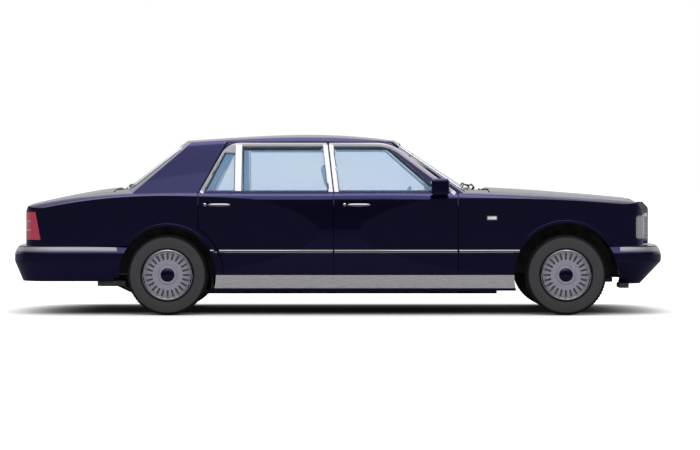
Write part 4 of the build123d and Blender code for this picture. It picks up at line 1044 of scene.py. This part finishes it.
def add_headlamps():
    """Twin round reflectors with lenses and a corner lamp behind each clear cover."""
    chart = Chart(surface("headlamps"), (2.4, 0, 0), Y, Z, X)
    radius = 0.078
    # Share of the radius and place along the axis
    bowl_rows = (
        (1, 0), (0.93, 0.012), (0.7, 0.030), (0.3, 0.040), (0, 0.041), (0, 0.044), (0.5, 0.044),
        (1.05, 0.012), (1.05, 0),
    )
    lens_rows = ((0, 0.008), (0.5, 0.006), (0.98, -0.001), (0.9, -0.003), (0, 0.002))
    for side, way in SIDES:
        for index, y in enumerate((0.415, 0.59)):
            centre = chart.drop(way * y, LAMP_MIDDLE) - X * 0.022
            bowl = turned(centre, -X, [(share * radius, along) for share, along in bowl_rows], 48)
            joined(f"reflector_{side}_{index}", [bowl], CHROME, "body")
            front = turned(centre, X, [(share * radius, along) for share, along in lens_rows], 48)
            joined(f"bowl_lens_{side}_{index}", [front], CLEAR_LENS, "body")
        for name, y, half, lift, material, steps in (
            ("lamp_surround", 0.575, (0.240, 0.092), -0.050, STEEL, (4, 14)),
            ("turn_lamp", 0.755, (0.05, 0.085), -0.012, CLEAR_LENS, (4, 6)),
        ):
            corners = corners_of((way * y, LAMP_MIDDLE), half)
            patch(f"{name}_{side}", chart, corners, lift, material, "body", steps)


def add_aprons():
    """Black splash aprons under both bumpers, beside the wheels."""
    for side, way in SIDES:
        for end, low_x, high_x, low_z, high_z in (
            ("rear", -2.04, -1.80, 0.240, 0.290), ("front", 2.385, 2.47, 0.225, 0.270),
        ):
            near, far = sorted((way * 0.56, way * 0.80))
            body = plain_box((low_x, near, low_z), (high_x, far, high_z), 0.008)
            joined(f"{end}_apron_{side}", [body], UNDERBODY, "body")


def add_tail_lamp_trim():
    """Bright bars across each tail lamp, and the clear reversing lamp between them."""
    for side, way in SIDES:
        chart = Chart(surface("tail_lamps"), (-2.5, 0, 0), Y, Z, -X)
        for index, height in enumerate((0.716, 0.792)):
            rows = []
            for step in range(13):
                y = way * (0.68 + 0.15 * step / 12)
                low, high = (Vector((y, height + edge)) for edge in (-0.004, 0.004))
                rows.append(band_row(chart, low, high, 0.003))
            loft(f"tail_lamp_bar_{side}_{index}", rows, CHROME, "body")
        corners = corners_of((way * 0.72, 0.754), (0.045, 0.032))
        patch(f"reversing_lamp_{side}", chart, corners, 0.002, CLEAR_LENS, "body", (4, 10))


def screen_chart(node, tree_nodes, way):
    """Chart square to a screen: a is Y and b runs up the slope."""
    points = [vertex.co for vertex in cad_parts[node].data.vertices]
    centre = sum(points, Vector()) / len(points)
    low = min(points, key=lambda point: point.z)
    high = max(points, key=lambda point: point.z)
    up = Vector((high.x - low.x, 0, high.z - low.z)).normalized()
    out = Vector((up.z * way, 0, -up.x * way))
    return Chart(surface(*tree_nodes), centre, Y, up, out), points


def add_screen_frames():
    """Rubber and bright mouldings round the windscreen and the rear window."""
    shells = ("body_side_left", "body_side_right", "roof_panel")
    for node, more_nodes, way in (
        ("windscreen", ("bulkhead",), 1),
        ("rear_window", ("rear_bulkhead",), -1),
    ):
        chart, points = screen_chart(node, (*shells, *more_nodes, node), way)
        ring = even_ring(hull_of(points, chart), 0.02)
        normals = ring_normals(ring)
        for label, start, width, rise, material in (
            ("rubber", -0.012, 0.026, 0.005, SEAL),
            ("moulding", 0.004, 0.018, 0.007, CHROME),
        ):
            rows = [
                band_row(chart, place + normal * start, place + normal * (start + width), rise)
                for place, normal in zip(ring, normals)
            ]
            loft(f"{node}_{label}", rows, material, "body", closed_run=True)


def add_wipers():
    """Two wiper arms with blades, parked low on the windscreen."""
    chart, points = screen_chart("windscreen", ("windscreen", "bulkhead"), 1)
    low = min(chart.flat(point).y for point in points)
    foot_b, blade_b = low - 0.045, low + 0.045
    for index, (pivot_y, tip_y) in enumerate(((0.44, -0.10), (-0.10, -0.64))):
        run = tip_y - pivot_y
        foot = chart.drop(pivot_y, foot_b, 0.004)
        elbow = foot + chart.out * 0.022
        arm, blade, spine = [elbow], [], []
        for step in range(1, 9):
            share = step / 8
            rise = 0.03 * (1 - share) + 0.022
            arm.append(chart.drop(pivot_y + run * 0.62 * share, foot_b + 0.10 * share, rise))
        for step in range(13):
            share = step / 12
            blade.append(chart.drop(pivot_y + run * (0.12 + 0.88 * share), blade_b + 0.012 * share, 0.007))
        for step in range(9):
            share = step / 8
            rise = 0.012 + 0.010 * sin(pi * share)
            spine_b = blade_b + 0.002 + 0.010 * share
            spine.append(chart.drop(pivot_y + run * (0.22 + 0.68 * share), spine_b, rise))
        parts = [rod(foot - chart.out * 0.02, elbow, 0.013, 20, 0.010)]
        parts += [tube_along(arm, 0.006, 8), tube_along(blade, 0.0055, 8), tube_along(spine, 0.004, 8)]
        joined(f"wiper_{index}", parts, MOULDING, "body")


def add_mirror_glass():
    """Mirror glasses in their rims."""
    for side, way in SIDES:
        low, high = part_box(f"mirror_{side}")
        middle = Vector((low.x, way * (max(abs(low.y), abs(high.y)) - 0.0875), high.z - 0.071))
        for half, radius, back, name, material in (
            ((0.070, 0.052), 0.024, 0.003, "rim", MOULDING),
            ((0.062, 0.045), 0.020, 0.0045, "glass", MIRROR),
        ):
            ring = []
            for corner_y, corner_z, first in ((1, 1, 0), (-1, 1, 90), (-1, -1, 180), (1, -1, 270)):
                corner = Vector((0, corner_y * (half[0] - radius), corner_z * (half[1] - radius)))
                for step in range(7):
                    angle = radians(first + 15 * step)
                    ring.append(middle + corner + Vector((0, cos(angle), sin(angle))) * radius)
            points = [point + X * 0.006 for point in ring] + [point - X * back for point in ring]
            faces = loft_faces(2, len(ring), True, False)
            add_piece(f"mirror_{name}_{side}", points, faces, material, f"front_{side}_door")


# Cabin

PLEATS = (-0.66, -0.33, 0, 0.33, 0.66)
SEAT_PLACE = 0.42
SEAT_UP = (-0.245, 0, 0.97)
BENCH_PLACE = 0.345
BENCH_UP = (-0.386, 0, 0.92)
DIAL_HEIGHT = 0.848
SMALL_DIAL_HEIGHT = 0.850


def lean(degrees_back):
    """Turn of a piece that leans back."""
    return Matrix.Rotation(radians(-degrees_back), 3, "Y")


def leaning_frame(up):
    """Turn of a backrest whose length runs along a slope, and the way it faces."""
    up = Vector(up).normalized()
    forward = Vector((up.z, 0, -up.x))
    return Matrix((up, Y, forward)).transposed(), forward


def add_front_seats():
    """Leather seats on the runners: pleated cushion and back, bolsters and head restraint."""
    frame_turn, forward = leaning_frame(SEAT_UP)
    for side, way in SIDES:
        y = way * SEAT_PLACE
        parts = [
            pillow(Vector((0.262, y, 0.497)), (0.285, 0.185, 0.055), lean(2), 0.04, 0.014, PLEATS),
            pillow(Vector((0.262, y - 0.222, 0.500)), (0.292, 0.046, 0.064), lean(2), 0.036, 0.008),
            pillow(Vector((0.262, y + 0.222, 0.500)), (0.292, 0.046, 0.064), lean(2), 0.036, 0.008),
            pillow(Vector((0.25, y, 0.370)), (0.298, 0.262, 0.066), lean(0), 0.02, 0.002),
        ]
        centre = Vector((-0.016, y, 0.795))
        parts += [
            pillow(centre, (0.235, 0.185, 0.050), frame_turn, 0.038, 0.014, PLEATS),
            pillow(centre + Vector((0.004, -0.222, 0)), (0.240, 0.046, 0.058), frame_turn, 0.034, 0.008),
            pillow(centre + Vector((0.004, 0.222, 0)), (0.240, 0.046, 0.058), frame_turn, 0.034, 0.008),
            pillow(centre - forward * 0.038, (0.243, 0.255, 0.032), frame_turn, 0.024, 0.004),
        ]
        seat = joined(f"front_seat_{side}", parts, HIDE, "body", radians(60))
        cushion = pillow(
            Vector((-0.088, y, 1.178)), (0.100, 0.132, 0.045), frame_turn, 0.04, 0.012, (-0.4, 0.4), 0.004
        )
        rest = joined(f"head_restraint_{side}", [cushion], HIDE, "body", radians(60))
        if side == SIDES[0][0]:
            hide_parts("front_seats")
        stem_places, rail_places = ([y + place * half for place in (-1, 1)] for half in (0.0675, 0.21))
        stems = [rod(Vector((-0.094, a, 1.000)), Vector((-0.090, a, 1.10)), 0.007, 12) for a in stem_places]
        joined(f"restraint_stems_{side}", stems, CHROME, "body")
        rails = [plain_box((0.0, a - 0.022, 0.241), (0.46, a + 0.022, 0.306), 0.004) for a in rail_places]
        joined(f"seat_runners_{side}", rails, CAST, "body")


def add_rear_seat():
    """Leather rear bench: two pleated places with an armrest between."""
    frame_turn = leaning_frame(BENCH_UP)[0]
    parts = [
        pillow(Vector((-0.775, 0, 0.452)), (0.268, 0.585, 0.050), lean(0), 0.02, 0.0),
        pillow(Vector((-1.180, 0, 0.735)), (0.255, 0.585, 0.060), frame_turn, 0.03, 0.0),
    ]
    for way in (1, -1):
        for x, z, thick, turn in ((-0.770, 0.520, 0.046, lean(3)), (-1.105, 0.775, 0.050, frame_turn)):
            centre = Vector((x, way * BENCH_PLACE, z))
            parts.append(pillow(centre, (0.262, 0.228, thick), turn, 0.038, 0.014, PLEATS))
    parts += [
        pillow(Vector((-0.770, 0, 0.517)), (0.262, 0.112, 0.042), lean(3), 0.034, 0.008),
        pillow(Vector((-1.118, 0, 0.775)), (0.262, 0.112, 0.046), frame_turn, 0.034, 0.008),
    ]
    seat = joined("rear_bench", parts, HIDE, "body", radians(60))
    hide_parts("rear_seat")


def add_door_cards():
    """Inner trim of each door: padded panel, wood capping, armrest, pull and pocket."""
    for side, way in SIDES:
        for door, start, end in (("front", 0.02, 0.965), ("rear", -0.955, -0.085)):
            node = f"door_{door}_{side}"
            chart = Chart(surface(node), (0, 0, 0), X, Z, -Y * way)
            body = f"{door}_{side}_door"
            for name, low, high, rise, material, steps in (
                ("card", 0.43, 0.955, 0.008, HIDE, (14, 20)),
                ("capping", 0.958, 1.006, 0.011, VENEER, (4, 20)),
            ):
                corners = ((start, low), (end, low), (end, high), (start, high))
                patch(f"{door}_{name}_{side}", chart, corners, rise, material, body, steps)
            middle = (start + end) / 2
            inner = chart.drop(middle, 0.74)
            reach = Vector((0, -way * 0.036, 0))
            rest = pillow(inner + reach, (0.24, 0.034, 0.030), lean(0), 0.024, 0.004)
            joined(f"{door}_armrest_{side}", [rest], HIDE, body, radians(60))
            grip_foot = chart.drop(middle + 0.10, 0.86)
            angles = [pi * (step / 12 - 0.5) for step in range(13)]
            path = [
                grip_foot + Vector((0.07 * sin(angle), -way * 0.028 * cos(angle) ** 0.5, 0))
                for angle in angles
            ]
            joined(f"{door}_inner_pull_{side}", [tube_along(path, 0.006, 10)], CHROME, body)
            pocket = plain_box(
                (middle - 0.22, min(inner.y, inner.y - way * 0.03), 0.47),
                (middle + 0.22, max(inner.y, inner.y - way * 0.03), 0.60), 0.012,
            )
            joined(f"{door}_pocket_{side}", [pocket], HIDE, body, radians(60))


def add_dash():
    """Wood fascia, dials, vents, the centre console, pedals, column selector and cabin mirror."""
    chart = Chart(surface("dashboard"), (0.6, 0, 0), Y, Z, -X)
    corners = ((-0.70, 0.80), (0.70, 0.80), (0.70, 0.893), (-0.70, 0.893))
    patch("fascia_wood", chart, corners, 0.006, VENEER, "body", (6, 30))
    bezels, faces, needles = [], [], []
    for y, z, radius in (
        (0.50, DIAL_HEIGHT, 0.040), (0.30, DIAL_HEIGHT, 0.040), (0.06, SMALL_DIAL_HEIGHT, 0.022),
        (0.0, SMALL_DIAL_HEIGHT, 0.022), (-0.06, SMALL_DIAL_HEIGHT, 0.022),
    ):
        centre = chart.drop(y, z, 0.004)
        bezel_rows = [(radius, 0), (radius * 1.12, 0), (radius * 1.1, 0.008), (radius, 0.009)]
        bezels.append(turned(centre, -X, bezel_rows, 40))
        faces.append(turned(centre, -X, [(0, 0), (radius, 0), (radius, 0.005), (0, 0.005)], 40))
        needles.append(
            plain_box(
                (centre.x - 0.0075, y - 0.0015, z), (centre.x - 0.0055, y + 0.0015, z + radius * 0.8), 0.0005
            )
        )
    joined("dial_bezels", bezels, CHROME, "body")
    joined("dial_faces", faces, DIAL, "body")
    joined("dial_needles", needles, CLEAR_LENS, "body")
    vents = []
    for y in (-0.62, -0.17, 0.17, 0.66):
        x = chart.drop(y, DIAL_HEIGHT, 0.006).x
        for slat in range(5):
            z = DIAL_HEIGHT + (slat - 2) * 0.011
            low, high = (x - 0.012, y - 0.036, z - 0.002), (x + 0.004, y + 0.036, z + 0.002)
            vents.append(plain_box(low, high, 0.001))
    joined("vent_slats", vents, CHROME, "body")
    console = [
        pillow(Vector((0.44, 0, 0.470)), (0.28, 0.105, 0.068), lean(0), 0.03, 0.0),
        pillow(Vector((0.08, 0, 0.505)), (0.16, 0.100, 0.070), lean(0), 0.03, 0.006),
    ]
    joined("centre_console", console, DARK_HIDE, "body", radians(60))
    wood = [plain_box((0.26, -0.075, 0.536), (0.66, 0.075, 0.541), 0.002)]
    joined("console_wood", wood, VENEER, "body")
    places = [(0.30 + 0.05 * row, -0.06 + 0.045 * column) for row in range(5) for column in range(3)]
    switches = [plain_box((x, y, 0.541), (x + 0.028, y + 0.025, 0.549), 0.002) for x, y in places]
    joined("console_switches", switches, MOULDING, "body")
    pedals = []
    for y, width in ((0.47, 0.06), (0.34, 0.085)):
        pedals.append(plain_box((0.965, y - width / 2, 0.34), (0.985, y + width / 2, 0.42), 0.006, lean(0)))
        pedals.append(rod(Vector((0.985, y, 0.40)), Vector((1.06, y, 0.64)), 0.008))
    joined("pedals", pedals, MOULDING, "body")
    selector = [rod(Vector((0.590, 0.43, 0.88)), Vector((0.602, 0.60, 0.925)), 0.006, 12, 0.008)]
    joined("column_selector", selector, MOULDING, "body")
    mirror_stem = [
        rod(Vector((0.66, 0, 1.375)), Vector((0.615, 0, 1.345)), 0.006),
        pillow(Vector((0.600, 0, 1.335)), (0.012, 0.115, 0.030), lean(0), 0.010),
    ]
    joined("cabin_mirror", mirror_stem, MOULDING, "body", radians(60))


def sheet_under(name, tree, corners, steps, way, lift, wall, material):
    """Lining that follows the underside (way 1) or the top (way -1) of what lies over or under it."""
    (x_low, y_low), (x_high, y_high), start_z = corners
    rows_count, columns = steps
    top, low = [], []
    for row in range(rows_count + 1):
        for column in range(columns + 1):
            x = x_low + (x_high - x_low) * row / rows_count
            y = y_low + (y_high - y_low) * column / columns
            point = tree.ray_cast(Vector((x, y, start_z)), Z * way)[0]
            if point is None:
                point = tree.find_nearest(Vector((x, y, start_z)))[0]
            near = point - Z * way * lift
            top.append(near)
            low.append(near - Z * way * wall)
    faces, line, total = [], columns + 1, len(top)
    for row in range(rows_count):
        for column in range(columns):
            corner = row * line + column
            quad = (corner, corner + 1, corner + line + 1, corner + line)
            faces.append(quad)
            faces.append(tuple(total + index for index in reversed(quad)))
    rim = list(range(columns))
    rim += [row * line + columns for row in range(rows_count)]
    rim += [rows_count * line + column for column in range(columns, 0, -1)]
    rim += [row * line for row in range(rows_count, 0, -1)]
    for index, start in enumerate(rim):
        after = rim[(index + 1) % len(rim)]
        faces.append((start, after, total + after, total + start))
    add_piece(name, top + low, faces, material, "body")


def add_linings():
    """Headlining under the roof and carpets on the floor and in the boot."""
    corners = ((-1.20, -0.50), (0.42, 0.50), 1.2)
    sheet_under("headlining", surface("roof_panel"), corners, (30, 20), 1, 0.003, 0.006, HEADLINING)
    floor = surface("floor_pan")
    for side, way in SIDES:
        y_low, y_high = sorted((way * 0.16, way * 0.72))
        for end, x_low, x_high, rows in (("front", 0.50, 1.05, 10), ("rear", -0.98, -0.18, 12)):
            corners = ((x_low, y_low), (x_high, y_high), 0.36)
            sheet_under(f"{end}_carpet_{side}", floor, corners, (rows, 10), -1, 0.002, 0.010, CARPET)
    corners = ((-2.55, -0.54), (-1.45, 0.54), 0.60)
    sheet_under("boot_carpet", floor, corners, (16, 16), -1, 0.002, 0.008, CARPET)


def add_engine_dress():
    """Ribbed covers, a plenum and filler cap on the engine block, and the radiator ahead of it."""
    low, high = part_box("engine")
    ribs = []
    for y in (0.15, -0.15):
        for rib in range(9):
            x = low.x + 0.10 + rib * 0.065
            near, far = (x, y - 0.075, high.z - 0.002), (x + 0.03, y + 0.075, high.z + 0.018)
            ribs.append(plain_box(near, far, 0.006))
    joined("engine_ribs", ribs, ALLOY, "body")
    plenum = [pillow(Vector(((low.x + high.x) / 2, 0, high.z + 0.012)), (0.27, 0.055, 0.026), lean(0), 0.02)]
    cap = turned(Vector((low.x + 0.60, 0.24, high.z)), Z, [(0, 0), (0.032, 0), (0.034, 0.02), (0, 0.026)], 32)
    joined("engine_plenum", plenum + [cap], MOULDING, "body", radians(50))
    core_x = 2.36
    core = [plain_box((core_x, -0.29, 0.56), (core_x + 0.045, 0.29, 0.90), 0.006)]
    for fin in range(28):
        z = 0.575 + fin * 0.0115
        core.append(plain_box((core_x - 0.004, -0.28, z), (core_x, 0.28, z + 0.004), 0.001))
    joined("radiator_core", core, MOULDING, "body")


set_camera()
set_lights()
set_world()
add_ground()
dress_nodes()
add_window_frames()
add_posts()
add_waist_strips()
add_arch_lips()
add_handles()
add_repeaters()
add_wheels()
add_bumper_strips()
add_plates()
add_headlamps()
add_aprons()
add_tail_lamp_trim()
add_screen_frames()
add_wipers()
add_mirror_glass()
add_front_seats()
add_rear_seat()
add_door_cards()
add_dash()
add_linings()
add_engine_dress()
